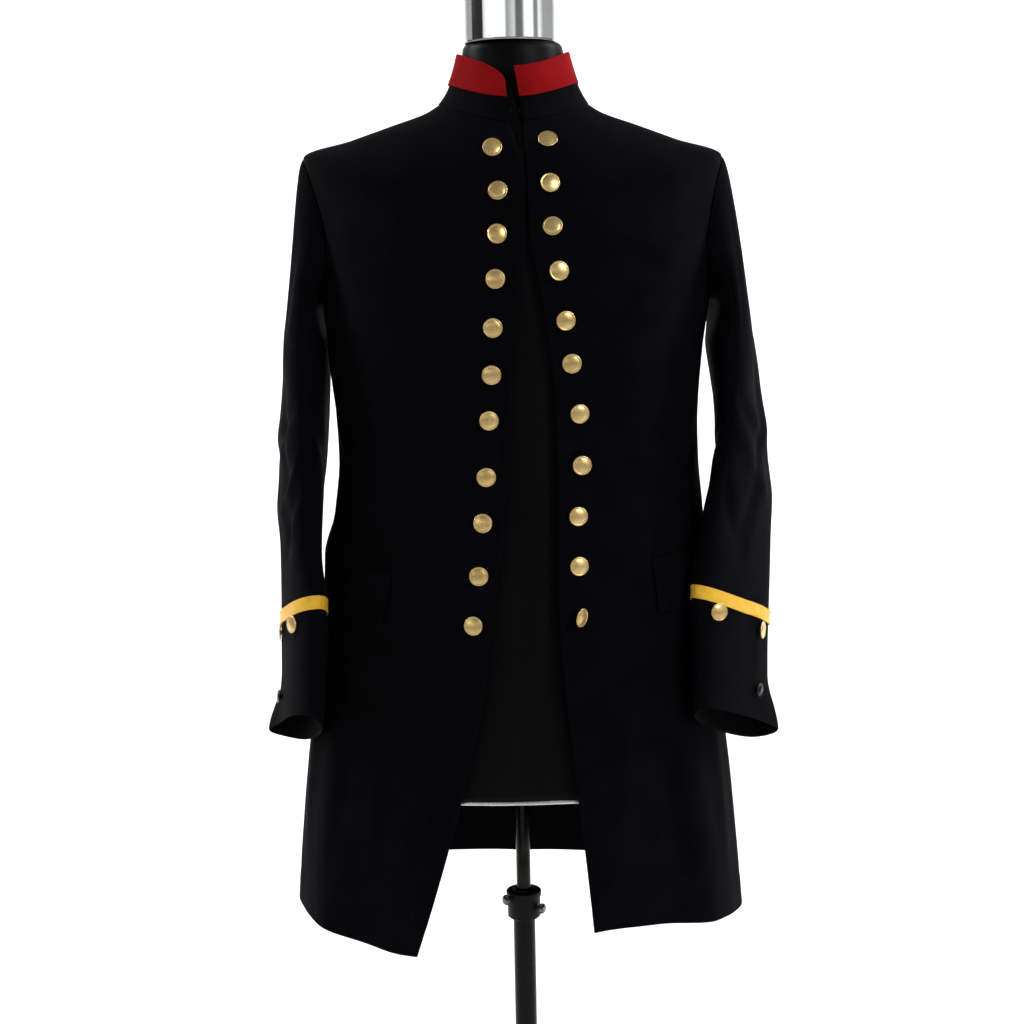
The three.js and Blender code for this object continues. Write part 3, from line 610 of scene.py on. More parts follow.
def cut_size(grid):
    """Width, length and area of the flat cut of a grid of points, in metres."""
    size = arc_lengths(grid)
    p = grid * MM
    area = (np.linalg.norm(np.cross(p[1:, 1:] - p[:-1, :-1], p[1:, :-1] - p[:-1, 1:]), axis=-1) / 2).sum()
    return float(size[:, -1, 0].max()), float(size[-1, :, 1].max()), float(area)


def sew(piece, grid, held, on, *nodes, slot="wool"):
    """Declares a cloth piece and works out the width, length and area of its cut; held is not used."""
    declare(piece, "form", slot, *nodes)
    width, length, area = cut_size(grid)


# %% [markdown]
# ## Finishes
# Every finish is built from noise and waves at the true size of its threads or marks. A
# helper wires the parts that all of them share: a colour that varies, a roughness and a bump.

# %% Finish helpers
NOISE_SPAN = (0.3, 0.7)


def coordinates(material, kind, scale=(1, 1, 1), turn=0.0):
    """Object or UV coordinates, in metres, stretched and turned."""
    place = add_node(material, "ShaderNodeTexCoord")
    mapping = add_node(material, "ShaderNodeMapping")
    mapping.inputs["Scale"].default_value = scale
    mapping.inputs["Rotation"].default_value = (0, 0, turn)
    join(material, place, kind, mapping, "Vector")
    return mapping


def noise(material, where, size, detail=3.0, roughness=0.55):
    """Noise whose grains measure about size metres."""
    texture = add_node(material, "ShaderNodeTexNoise", Scale=1 / size, Detail=detail, Roughness=roughness)
    join(material, where, "Vector", texture, "Vector")
    return texture


def color_between(material, texture, shader, low, high):
    ramp = add_node(material, "ShaderNodeValToRGB")
    for element, place, color in zip(ramp.color_ramp.elements, NOISE_SPAN, (low, high)):
        element.position = place
        element.color = (*color, 1)
    join(material, texture, 0, ramp, "Fac")
    join(material, ramp, "Color", shader, "Base Color")


def roughness_between(material, texture, shader, low, high):
    spread = add_node(material, "ShaderNodeMapRange", **{
        "From Min": NOISE_SPAN[0], "From Max": NOISE_SPAN[1], "To Min": low, "To Max": high})
    join(material, texture, 0, spread, "Value")
    join(material, spread, "Result", shader, "Roughness")


def bump(material, texture, shader, depth, before=None):
    """Raises the surface by depth metres where the texture is high."""
    relief = add_node(material, "ShaderNodeBump", Strength=1.0, Distance=depth)
    join(material, texture, 0, relief, "Height")
    if before is not None:
        join(material, before, "Normal", relief, "Normal")
    join(material, relief, "Normal", shader, "Normal")
    return relief


# %% Wool and red cloth
NAP = {"tone": 0.035, "grain": 0.0016, "height": 0.00022, "smooth": 0.78, "rough": 0.95}
TWILL = {"turn": 63, "pitch": 0.0042, "height": 0.00006}


def wool_finish(name, low, high, sheen):
    """Milled wool: a close nap over a faint diagonal twill."""
    material, shader = new_finish(name, low, 0.85, sheen=sheen, specular=0.035)
    place = coordinates(material, "Object")
    color_between(material, noise(material, place, NAP["tone"], detail=4), shader, low, high)
    nap = noise(material, place, NAP["grain"], detail=4, roughness=0.7)
    roughness_between(material, nap, shader, NAP["smooth"], NAP["rough"])
    weave = coordinates(material, "UV", turn=math.radians(TWILL["turn"]))
    twill = add_node(material, "ShaderNodeTexWave", Scale=1 / TWILL["pitch"], Distortion=1.2, Detail=2.0)
    join(material, weave, "Vector", twill, "Vector")
    first = bump(material, twill, shader, TWILL["height"])
    bump(material, nap, shader, NAP["height"], before=first)
    return material


WOOL = wool_finish("black_wool", (0.0013, 0.0013, 0.0021), (0.0026, 0.0025, 0.0040), sheen=0.0025)
RED = wool_finish("red_cloth", (0.225, 0.0038, 0.005), (0.305, 0.006, 0.0085), sheen=0.015)
print("finishes:", WOOL.name, RED.name)


# %% Satin braid
FLOATS = {"tone": 0.012, "pitch": 0.0035, "height": 0.00018, "smooth": 0.32, "rough": 0.5}


def braid_finish():
    """Satin-woven gold braid: bright floats across its width between two firm edges."""
    material, shader = new_finish("gold_braid", (1.0, 0.55, 0.03), 0.42, metallic=0.1)
    place = coordinates(material, "UV")
    tone = noise(material, place, FLOATS["tone"])
    color_between(material, tone, shader, (0.94, 0.46, 0.016), (1.0, 0.64, 0.045))
    weave = add_node(material, "ShaderNodeTexWave", Scale=1 / FLOATS["pitch"], Distortion=0.6, Detail=1.0)
    weave.bands_direction = "X"
    join(material, place, "Vector", weave, "Vector")
    roughness_between(material, weave, shader, FLOATS["smooth"], FLOATS["rough"])
    bump(material, weave, shader, FLOATS["height"])
    return material


BRAID = braid_finish()


# %% Metals, paint, horn and plastic
# Metal has wider tones and sharper marks than paint; smooth and rough are shares of the
# finish's own roughness.
METAL = {"tone": 12, "detail": 4, "sharp": 0.7, "smooth": 0.75, "rough": 1.35}
PAINT = {"tone": 9, "detail": 3, "sharp": 0.55, "smooth": 0.8, "rough": 1.25}


def hard_finish(marks, name, low, high, roughness, grain, depth, **values):
    """A hard finish with a faint uneven tone and fine marks, grain metres apart."""
    material, shader = new_finish(name, low, roughness, **values)
    place = coordinates(material, "Object")
    color_between(material, noise(material, place, grain * marks["tone"], detail=4), shader, low, high)
    fine = noise(material, place, grain, detail=marks["detail"], roughness=marks["sharp"])
    roughness_between(material, fine, shader, roughness * marks["smooth"], roughness * marks["rough"])
    bump(material, fine, shader, depth)
    return material


GILT = hard_finish(METAL, "gilt", (0.74, 0.49, 0.17), (0.96, 0.72, 0.32), 0.29, 0.0013, 0.00003,
                   metallic=0.74)
CHROME = hard_finish(METAL, "chrome", (0.78, 0.79, 0.80), (0.86, 0.87, 0.88), 0.06, 0.004, 0.0000004,
                     metallic=1.0)
PLATE = hard_finish(METAL, "plate_metal", (0.70, 0.71, 0.72), (0.82, 0.83, 0.84), 0.25, 0.0012, 0.00002,
                    metallic=1.0)
POST = hard_finish(METAL, "post_steel", (0.012, 0.012, 0.011), (0.022, 0.022, 0.021), 0.2, 0.0012, 0.00001,
                   metallic=1.0)
BOLTS = hard_finish(METAL, "bolt_steel", (0.10, 0.10, 0.098), (0.17, 0.17, 0.165), 0.22, 0.0015, 0.00001,
                    metallic=1.0)
HORN = hard_finish(PAINT, "black_button", (0.002, 0.002, 0.0025), (0.006, 0.0055, 0.005), 0.2, 0.002,
                   0.00002, specular=0.2)
STEEL = hard_finish(PAINT, "black_steel", (0.003, 0.003, 0.0028), (0.006, 0.006, 0.0056), 0.3, 0.0012,
                    0.00003, specular=0.12)
PLASTIC = hard_finish(PAINT, "black_plastic", (0.004, 0.004, 0.004), (0.008, 0.008, 0.0075), 0.45, 0.0010,
                      0.00005, specular=0.15)


# %% Satin of the form
STRETCH = {"along": 0.25, "tone": 0.02, "grain": 0.0009, "height": 0.00006, "smooth": 0.36, "rough": 0.5}


def satin_finish():
    """Stretch satin drawn tight over the form: a soft streak along its threads."""
    material, shader = new_finish("black_satin", (0.0014, 0.0014, 0.002), 0.42, specular=0.07)
    place = coordinates(material, "Object", scale=(1, 1, STRETCH["along"]))
    tone = noise(material, place, STRETCH["tone"], detail=4)
    color_between(material, tone, shader, (0.0011, 0.0011, 0.0016), (0.0022, 0.0020, 0.0030))
    threads = noise(material, place, STRETCH["grain"], roughness=0.6)
    roughness_between(material, threads, shader, STRETCH["smooth"], STRETCH["rough"])
    bump(material, threads, shader, STRETCH["height"])
    return material


SATIN = satin_finish()
print("finishes made:", len(bpy.data.materials))

# %% [markdown]
# ## Fronts and backs
# Two fronts and two backs make the body. Each is laid out on the coat's sections, with more
# points where the cloth turns at an edge. The fronts hang edge to edge from the throat and
# fall open below, so their free edges get a firm, slightly raised turned edge.

# %% Creases of the body
BODY_CREASES = named_rows(CREASE_COLUMNS, [
    [1210, -330, 1095, -120, 20, 1.6, 12], [1200, -300, 1120, -170, 15, -1.4, -8],
    [1120, -60, 905, -150, 18, -1.8, 14], [1085, -95, 900, -205, 15, 1.3, 10],
    [960, -20, 850, -120, 14, -2.2, -10], [925, -10, 800, -95, 13, 1.6, 12],
    [880, -60, 690, -140, 20, 1.4, -16], [1060, -640, 900, -560, 16, -1.7, 10],
    [1020, -640, 880, -520, 15, 1.4, -12], [950, -650, 840, -560, 14, -2.2, 8],
    [905, -650, 780, -590, 13, 1.7, 10], [1215, -370, 1130, -420, 14, -1.2, 6],
    [760, -215, 430, -255, 12, 2.0, 10], [700, -170, 420, -160, 14, -2.0, -8],
    [780, -110, 440, -80, 16, 1.6, 8], [740, -455, 430, -480, 12, 2.2, -8],
    [720, -505, 430, -545, 15, -2.2, 8], [760, -570, 450, -610, 16, 1.8, -10],
    [1180, 90, 1000, 160, 18, -1.8, 12], [1150, 240, 980, 330, 22, 1.3, -14],
    [980, 60, 860, 170, 15, -2.0, -10], [930, 120, 800, 260, 15, 1.7, 10],
    [960, 600, 850, 480, 15, -2.0, 10], [1150, 560, 1000, 500, 18, -1.7, -12],
    [860, 325, 430, 345, 13, -2.6, 8], [800, 250, 430, 235, 15, 2.2, -10],
    [800, 410, 430, 430, 15, 2.0, 10], [900, 330, 760, 330, 12, 1.6, 4]])
MM_PER_DEGREE = 3.67
# The skirts hang free, so their creases stand out more than those of the fitted body, and
# towards the neck the cloth is drawn smooth.
SKIRT_LOOSE = {"low": 600, "high": 730, "more": 0.6}
NECK_CALM = {"below_tip": 30, "share": 0.85}
UNEVEN = {"body": 1.5, "sleeve": 1.2}


def body_relief(station, angle, seed):
    around = turn_between(angle, 0) * MM_PER_DEGREE
    wrapped = np.where(around > 180 * MM_PER_DEGREE - 1, around - 360 * MM_PER_DEGREE, around)
    relief = crease_relief(BODY_CREASES, station, wrapped)
    calm = 1 - smooth_step(TIP_STATION - NECK_CALM["below_tip"], NECK_STATION, station) * NECK_CALM["share"]
    loose = 1 + SKIRT_LOOSE["more"] * (1 - smooth_step(SKIRT_LOOSE["low"], SKIRT_LOOSE["high"], station))
    return (relief * loose + slow_waves(station, wrapped, seed, UNEVEN["body"])) * calm


print("body creases:", len(BODY_CREASES))

# %% Panels of the body
# A seam is a groove, shallower round the armhole; a free edge is turned and stitched, and the
# hem's turning shows as a low ridge with a dip above it.
SEAM = {"depth": 0.9, "width": 3.2, "armhole_less": 0.65, "armhole_reach": 8}
FREE_EDGE = {"height": 0.35, "rise": 1.5, "fall": 7, "end": 9}
HEM_RIDGES = named_rows(["at", "width", "height"], [[26, 7, 0.3], [38, 5, -0.3]])
CREASE_START = {"body": 22, "sleeve": 14}
EDGE_SHARES = [0, 0.0035, 0.008, 0.014, 0.022, 0.034]
PANEL_MIDDLE = (0.05, 0.95)
STATIONS = {"armhole": 34, "low": 105, "high": 34, "low_start": 10, "neck_end": 1.2}
HEM_STEPS = np.array([0, 1, 2.6, 5])
PANEL_COLUMNS = {"front": 68, "back": 62}
SEEDS = {"front": 11, "back": 21, "sleeve": 31}


def panel_shares(count):
    middle = np.linspace(*PANEL_MIDDLE, count)
    return np.concatenate([EDGE_SHARES, middle, 1 - np.array(EDGE_SHARES[::-1])])


def body_stations():
    armhole = ARMHOLE["centre"] + ARMHOLE["rise"] * np.cos(np.linspace(math.pi, 0, STATIONS["armhole"]))
    low = np.linspace(HEM_STATION + STATIONS["low_start"], armhole[0], STATIONS["low"])
    high = np.linspace(TIP_STATION, NECK_STATION, STATIONS["high"])
    neck = [NECK_STATION - STATIONS["neck_end"]]
    return np.unique(np.round(np.concatenate([HEM_STATION + HEM_STEPS, low, armhole, high, neck]), 4))


def body_panel(name, side, start_angle, end_angle, count, seed, sewn):
    """A panel of the body: sewn says which of its two long edges are sewn."""
    stations = body_stations()[:, None]
    start, end = start_angle(side, stations), end_angle(side, stations)
    angles = start + (end - start) * panel_shares(count)[None, :]
    plain = body_point(stations, angles)
    normals = body_normal(stations, angles)
    from_start, from_end = edge_distances(plain)
    near = np.minimum(from_start, from_end)
    relief = body_relief(stations, angles, seed) * smooth_step(0, CREASE_START["body"], near)
    shallow = 1 - SEAM["armhole_less"] * smooth_step(0, SEAM["armhole_reach"], armhole_reach(stations))
    for edge, distance in (("first", from_start), ("last", from_end)):
        if edge in sewn:
            relief -= SEAM["depth"] * shallow * bell(distance, SEAM["width"])
        else:
            relief += FREE_EDGE["height"] * smooth_step(0, FREE_EDGE["rise"], distance) * (
                1 - smooth_step(FREE_EDGE["fall"], FREE_EDGE["end"], distance))
    for ridge in HEM_RIDGES:
        relief += ridge["height"] * bell(stations - HEM_STATION - ridge["at"], ridge["width"])
    outer = plain + normals * relief[..., None]
    inner = outer - normals * CLOTH
    return cloth_wall(name, outer, inner, WOOL, sewn=("high", *sewn)), outer


for side_name, side in SIDES.items():
    front, grid = body_panel(f"wool_front_{side_name}", side, front_edge_angle, side_seam,
                             PANEL_COLUMNS["front"], SEEDS["front"] + side, ["last"])
    sew(front, grid, "hung", ["form_torso"], f"front_{side_name}")
    back, grid = body_panel(f"wool_back_{side_name}", side, back_side_seam, back_seam,
                            PANEL_COLUMNS["back"], SEEDS["back"] + side, ["first", "last"])
    sew(back, grid, "hung", ["form_torso"], f"back_{side_name}")

# %% [markdown]
# ## Sleeves
# An empty sleeve hangs flat and wide, with its long side towards the front. It is cut in two:
# a top sleeve and an under sleeve. The cap sweeps from the armhole over the padded head and
# down into the tube, and the seam at the hind arm ends in a short vent at the cuff.

# %% Sections of the sleeves
SLEEVE_COLUMNS = ["station", "x", "y", "long", "thin", "turn", "tilt"]
SLEEVE = {
    1: smooth_table(SLEEVE_COLUMNS, [
        [600, 232, -62, 70, 20, 38, 30], [650, 231, -56, 70, 21.5, 38, 30],
        [700, 231, -52, 70, 22, 38, 29], [755, 232.5, -47, 70, 22.5, 38, 27],
        [843, 242, -30, 73, 24, 30, 17], [880, 246.5, -20, 75.5, 25, 24, 12],
        [935, 247.5, -9, 78, 25.5, 15, 5], [990, 243.5, 0, 80, 26, 8, 2],
        [1023, 239.5, 3, 82, 25.5, 4, 0], [1070, 236, 8, 82, 21, 0, 0],
        [1110, 233, 8, 80, 19.5, 0, 0]]),
    -1: smooth_table(SLEEVE_COLUMNS, [
        [600, 242, -68, 69, 19, 17, 29], [650, 238, -59, 69, 20.5, 17, 28],
        [700, 236, -51, 69.5, 21, 17, 27], [755, 235.5, -43, 71, 21, 17, 25],
        [807, 237.5, -33, 73, 21.5, 12, 16], [866, 236, -19, 76, 23, 9, 10],
        [921, 234, -6, 78, 24.5, 7, 5], [976, 231.5, 0, 80, 25, 4, 2],
        [1030, 228, 5, 82, 24, 1, 0], [1070, 225.5, 8, 82, 20.5, 0, 0],
        [1110, 223, 8, 80, 19.5, 0, 0]]),
}
SLEEVE_POWER = 2.15
SLEEVE_NORMAL_STEP = {"run": 0.012, "around": 1.5}
SLEEVE_SEAMS = {"forearm": 97, "hind_arm": 264}
SLEEVE_HEAD = {"end_station": 1046, "end_slant": 16}
HEAD_LAP = {"rise": 1.0, "angle": 0.35, "lift": 0.8}
# How far the cap's curve runs straight on from the armhole and into the tube, as shares of
# the way between them. top grows from the underarm to the shoulder, crown only near its top.
HEAD_LEAVES = {"out": 0.85, "out_top": 0.55, "out_crown": 0.21, "forward": 0.18,
               "down_side": 0.55, "down_low": 0.1, "down_crown": 0.03}
HEAD_ARRIVES = {"low": 0.8, "top": 0.45, "crown": 0.95}
SLEEVE_HEM = {1: {"middle": 616, "slant": 11, "flare": 9}, -1: {"middle": 622, "slant": 11, "flare": 17}}
VENT = {"around": 296, "width": 30, "back": 6, "rise": 62}
SLEEVE_FOLDS = named_rows(["station", "around", "high", "wide", "depth"], [
    [985, 40, 26, 40, -4], [930, 10, 22, 45, 3], [895, 60, 20, 38, -4.5],
    [860, -20, 24, 42, 2.5], [820, 30, 24, 36, -3], [1100, -30, 30, 34, -3]])


def sleeve_hem(side, around):
    return SLEEVE_HEM[side]["middle"] + SLEEVE_HEM[side]["slant"] * np.cos(np.radians(around))


def sleeve_ring(side, station, around):
    """The sleeve's tube at a station: around is 0 at its outer face and 90 at its front."""
    station, around = matched(station, around)
    row = SLEEVE[side](station)
    turn_cos, turn_sin = cos_sin(row["turn"])
    cos, sin = cos_sin(around)
    zero = np.zeros_like(turn_cos)
    out = np.stack([turn_cos * side, -turn_sin, zero], -1)
    back = np.stack([turn_sin * side, turn_cos, zero], -1)
    crease = 0
    for fold in SLEEVE_FOLDS:
        crease = crease + fold["depth"] * bell(station - fold["station"], fold["high"]) * bell(
            turn_between(around, fold["around"]), fold["wide"])
    above_hem = station - sleeve_hem(side, around)
    flare = bell(turn_between(around, VENT["around"]), VENT["width"]) * (
        1 - smooth_step(0, VENT["rise"], above_hem))
    away = side * (row["x"] + SLEEVE_HEM[side]["flare"] * flare)
    middle = np.stack([away, row["y"], station + row["tilt"] * sin], -1)
    thin = (row["thin"] + crease) * signed_power(cos, 2 / SLEEVE_POWER)
    long = -row["long"] * signed_power(sin, 2 / SLEEVE_POWER) + VENT["back"] * flare
    return middle + out * thin[..., None] + back * long[..., None]


def head_end(around):
    return SLEEVE_HEAD["end_station"] + SLEEVE_HEAD["end_slant"] * np.cos(np.radians(around))


def sleeve_cap(side, share, around):
    """The sleeve head: share is 0 at the armhole and 1 where the tube begins."""
    share, around = matched(share, around)
    cos, sin = cos_sin(around)
    station = ARMHOLE["centre"] + (ARMHOLE["rise"] + HEAD_LAP["rise"]) * cos
    angle = mirrored(side, SEAM_ANGLE - (ARMHOLE["angle"] + HEAD_LAP["angle"]) * sin)
    start = body_point(station, angle) + body_normal(station, angle) * HEAD_LAP["lift"]
    tube_start = head_end(around)
    end = sleeve_ring(side, tube_start, around)
    down = sleeve_ring(side, tube_start - 1, around) - sleeve_ring(side, tube_start + 1, around)
    reach = np.linalg.norm(end - start, axis=-1)[..., None]
    top = (1 + cos) / 2
    crown = top ** 3
    out = HEAD_LEAVES["out"] - HEAD_LEAVES["out_top"] * top - HEAD_LEAVES["out_crown"] * crown
    drop = (HEAD_LEAVES["down_side"] * sin * sin + HEAD_LEAVES["down_low"] * (1 - top)
            + HEAD_LEAVES["down_crown"] * crown)
    leave = np.stack([side * out, -HEAD_LEAVES["forward"] * sin, -drop], -1) * reach
    pull = HEAD_ARRIVES["low"] + HEAD_ARRIVES["top"] * top + HEAD_ARRIVES["crown"] * crown
    arrive = unit(down) * reach * pull[..., None]
    t = share[..., None]
    return (start * (1 - 3 * t ** 2 + 2 * t ** 3) + leave * t * (1 - t) ** 2
            + end * t ** 2 * (3 - 2 * t) + arrive * t ** 2 * (t - 1))


def sleeve_point(side, run, around):
    """The whole sleeve: run is -1 to 0 over the cap and 0 to 1 down the tube."""
    run, around = matched(run, around)
    start = head_end(around)
    tube = sleeve_ring(side, start + (sleeve_hem(side, around) - start) * np.clip(run, 0, 1), around)
    cap = sleeve_cap(side, np.clip(1 + run, 0, 1), around)
    return np.where((run < 0)[..., None], cap, tube)


def sleeve_normal(side, run, around):
    run, around = matched(run, around)
    step, turn = SLEEVE_NORMAL_STEP["run"], SLEEVE_NORMAL_STEP["around"]
    above = sleeve_point(side, np.maximum(run - step, -1), around)
    below = sleeve_point(side, np.minimum(run + step, 1), around)
    sweep = sleeve_point(side, run, around + turn) - sleeve_point(side, run, around - turn)
    return unit(np.cross(sweep, below - above)) * side


def run_at(side, around, station):
    start = head_end(around)
    return (station - start) / (sleeve_hem(side, around) - start)


print("sleeve length below the head:", SLEEVE_HEAD["end_station"] - SLEEVE_HEM[1]["middle"], "mm")

# %% Creases of the sleeves
SLEEVE_CREASES = {
    1: named_rows(CREASE_COLUMNS, [
        [1120, -20, 720, 8, 12, 1.3, 8], [1060, 20, 760, 30, 13, -1.8, -10],
        [985, 100, 890, -40, 10, -2.0, 8], [940, 95, 850, -20, 9, 1.6, -8],
        [905, 100, 800, 10, 10, -1.8, 10], [1150, 60, 1030, 85, 12, -1.4, 6],
        [780, -30, 640, -20, 12, 1.0, 6], [1090, 230, 820, 215, 13, 2.0, 8],
        [960, 130, 880, 235, 11, -1.8, -8]]),
    -1: named_rows(CREASE_COLUMNS, [
        [1130, -15, 720, 4, 12, 1.3, -8], [1050, 22, 780, 34, 13, -2.0, 9],
        [975, 98, 900, -30, 10, -2.0, -8], [930, 100, 845, 0, 9, 1.7, 8],
        [880, 95, 800, 20, 10, -1.8, -10], [1140, 70, 1040, 40, 12, -1.4, 6],
        [770, -20, 650, -30, 12, 1.0, -6], [1080, 225, 800, 240, 13, 2.0, -8],
        [950, 135, 870, 228, 11, -1.8, 8]]),
}
MM_PER_TURN_DEGREE = 1.15
CREASE_MIDDLE = 75
HEAD_RUN_MM = 130
HEAD_CALM = (-0.99, -0.55)
# Above the cuff the sleeve is softer, and its creases stand out more.
SLEEVE_LOOSE = {"low": 765, "high": 830, "more": 0.8}


def sleeve_relief(side, run, around, seed):
    run, around = matched(run, around)
    start = head_end(around)
    station = np.where(run < 0, start - run * HEAD_RUN_MM, start + (sleeve_hem(side, around) - start) * run)
    across = turn_between(around, CREASE_MIDDLE) * MM_PER_TURN_DEGREE + CREASE_MIDDLE * MM_PER_TURN_DEGREE
    relief = crease_relief(SLEEVE_CREASES[side], station, across)
    loose = smooth_step(SLEEVE_LOOSE["low"], SLEEVE_LOOSE["high"], station)
    relief = relief * (1 + SLEEVE_LOOSE["more"] * loose)
    return (relief + slow_waves(station, across, seed, UNEVEN["sleeve"])) * smooth_step(*HEAD_CALM, run)


# %% Sleeve panels
SEAM_TURN = 0.08
AROUND = {
    "top": (SLEEVE_SEAMS["hind_arm"] - 360 + SEAM_TURN, SLEEVE_SEAMS["forearm"] - SEAM_TURN, 54),
    "under": (SLEEVE_SEAMS["forearm"] + SEAM_TURN, SLEEVE_SEAMS["hind_arm"] - SEAM_TURN, 44),
}
SLEEVE_RUNS = np.concatenate([
    np.linspace(-1, -0.001, 44), np.linspace(0.003, 0.982, 110), [0.9885, 0.9935, 0.9972, 1.0]])
SLEEVE_RUNS[:3] = [-1.0, -0.99, -0.975]
CUFF_RIDGE = {"tube": 440, "at": 30, "width": 6, "height": 0.3}


def sleeve_panel(side_name, side, part):
    first, last, count = AROUND[part]
    around = first + (last - first) * panel_shares(count)[None, :]
    runs = SLEEVE_RUNS[:, None]
    plain = sleeve_point(side, runs, around)
    normals = sleeve_normal(side, runs, around)
    distances = edge_distances(plain)
    near = np.minimum(*distances)
    relief = sleeve_relief(side, runs, around, SEEDS["sleeve"] + side) * smooth_step(
        0, CREASE_START["sleeve"], near)
    for distance in distances:
        relief -= SEAM["depth"] * bell(distance, SEAM["width"])
    relief += CUFF_RIDGE["height"] * bell((1 - runs) * CUFF_RIDGE["tube"] - CUFF_RIDGE["at"],
                                          CUFF_RIDGE["width"])
    outer = plain + normals * relief[..., None]
    piece = cloth_wall(f"wool_{part}_sleeve_{side_name}", outer, outer - normals * CLOTH, WOOL,
                       sewn=("low", "first", "last"))
    sew(piece, outer, "hung", [f"wool_front_{side_name}"], f"{part}_sleeve_{side_name}")


for side_name, side in SIDES.items():
    for part in AROUND:
        sleeve_panel(side_name, side, part)

# %% [markdown]
# ## Braid
# The braid is a narrow strip of satin weave sewn round the cuff, with its two edges a little
# thicker than its middle. It is laid on the sleeve's own face and lifted by its thickness.

# %% Braid of the cuffs
BRAID_AT = {"centre": 746, "width": 15, "wall": 1.1, "sides": 240, "foot": 0.4}
BRAID_SHARES = [0.5, 0.485, 0.44, 0.38, 0.3, 0.2, 0.1, 0]
BRAID_EDGE = {"at": 0.43, "width": 0.05, "height": 0.25}
BRAID_RIBS = {"count": 120, "height": 0.10}


def relief_on_sleeve(side, run, around):
    """The relief that the sleeve panels have at a place, seams included."""
    relief = sleeve_relief(side, run, around, SEEDS["sleeve"] + side)
    for seam in (SLEEVE_SEAMS["forearm"], SLEEVE_SEAMS["hind_arm"]):
        distance = np.abs(turn_between(around, seam)) * MM_PER_TURN_DEGREE
        relief = relief * smooth_step(0, CREASE_START["sleeve"], distance)
        relief = relief - SEAM["depth"] * bell(distance, SEAM["width"])
    return relief


def cuff_braid(side_name, side):
    around = np.linspace(0, 360, BRAID_AT["sides"], endpoint=False)[None, :]
    half = np.array(BRAID_SHARES)
    shares = np.concatenate([half, -half[-2::-1]])
    station = BRAID_AT["centre"] + shares[:, None] * BRAID_AT["width"]
    runs = run_at(side, around, station)
    base = sleeve_point(side, runs, around)
    normals = sleeve_normal(side, runs, around)
    relief = relief_on_sleeve(side, runs, around)
    cord = BRAID_EDGE["height"] * bell(np.abs(shares[:, None]) - BRAID_EDGE["at"], BRAID_EDGE["width"])
    ribs = BRAID_RIBS["height"] * np.sin(np.radians(around) * BRAID_RIBS["count"])
    outer = base + normals * (relief + LAID_ON + BRAID_AT["wall"] + cord + ribs)[..., None]
    inner = base + normals * (relief + LAID_ON * BRAID_AT["foot"])[..., None]
    piece = cloth_wall(f"gold_braid_{side_name}", outer, inner, BRAID, wrapped=True)
    closed = np.concatenate([outer, outer[:, :1]], axis=1)
    sew(piece, closed, "stretched", [f"wool_top_sleeve_{side_name}"], f"braid_{side_name}", slot="gold_braid")


for side_name, side in SIDES.items():
    cuff_braid(side_name, side)

# %% [markdown]
# ## Collar
# The collar stands straight up: black wool with a red band over its upper half. Its
# right-hand end has a rounded front corner, and the left-hand end is cut straight.

# %% Collar
COLLAR = {"wall": 2.4, "band_wall": 1.0, "band_from": 0.39, "lift": 0.35}
COLLAR_FOOT = {"rise": 0.36, "out": 4.0, "down": 2.5, "down_front": 6.2, "down_back": 3.8, "down_left": 2.2}
COLLAR_RUN = smooth_table(["rise", "side", "front", "back", "half", "front_depth", "back_depth"], [
    [0, 1291, 1272, 1303, 77, 72.5, 58.5], [0.15, 1298, 1279.5, 1310, 73.6, 71.4, 56.8],
    [0.4, 1310, 1292, 1321, 68.8, 69.2, 54.2], [0.7, 1326, 1307.5, 1335, 63.4, 67, 52],
    [1, 1342, 1323, 1349, 59, 65, 50]])
COLLAR_ENDS = smooth_table(["rise", "right", "left"], [[0, -1, 14], [0.4, -2, 10.5], [1, -5, 6]])
COLLAR_CORNER = {"drop": 0.3, "reach": 30}
COLLAR_WAVE = {"height": 0.35, "count": 3, "phase": 1.1}
COLLAR_STEP = {"rise": 0.02, "angle": 1}
COLLAR_END_SHARES = np.array([0, 0.002, 0.005, 0.010, 0.017, 0.026, 0.038, 0.052, 0.07, 0.09])


def collar_point(rise, angle):
    rise, angle = matched(rise, angle)
    row = COLLAR_RUN(rise)
    cos, sin = cos_sin(angle)
    depth, height = depth_and_height(row, sin)
    return np.stack([BODY(NECK_STATION)["centre"] + row["half"] * cos, depth * sin,
                     height + COLLAR["lift"]], -1)


def collar_normal(rise, angle):
    return normal_of(collar_point, rise, angle, COLLAR_STEP["rise"], COLLAR_STEP["angle"])


def collar_end_angle(side, rise):
    across = COLLAR_ENDS(rise)["left" if side > 0 else "right"] - BODY(NECK_STATION)["centre"]
    return -np.degrees(np.arccos(across / COLLAR_RUN(rise)["half"]))


def collar_angle(rise, share):
    """The angle at a share of the way round, from the right-hand end to the left-hand one."""
    first, last = collar_end_angle(-1, rise), collar_end_angle(1, rise) - 360
    return first + (last - first) * share


def collar_wave(angle):
    return COLLAR_WAVE["height"] * np.sin(np.radians(angle) * COLLAR_WAVE["count"] + COLLAR_WAVE["phase"])


def collar_top(share):
    from_right_end = share * 2 * math.pi * COLLAR_RUN(1)["half"]
    near = np.maximum(1 - from_right_end / COLLAR_CORNER["reach"], 0)
    return 1 - COLLAR_CORNER["drop"] * (1 - np.sqrt(np.maximum(1 - near * near, 0)))


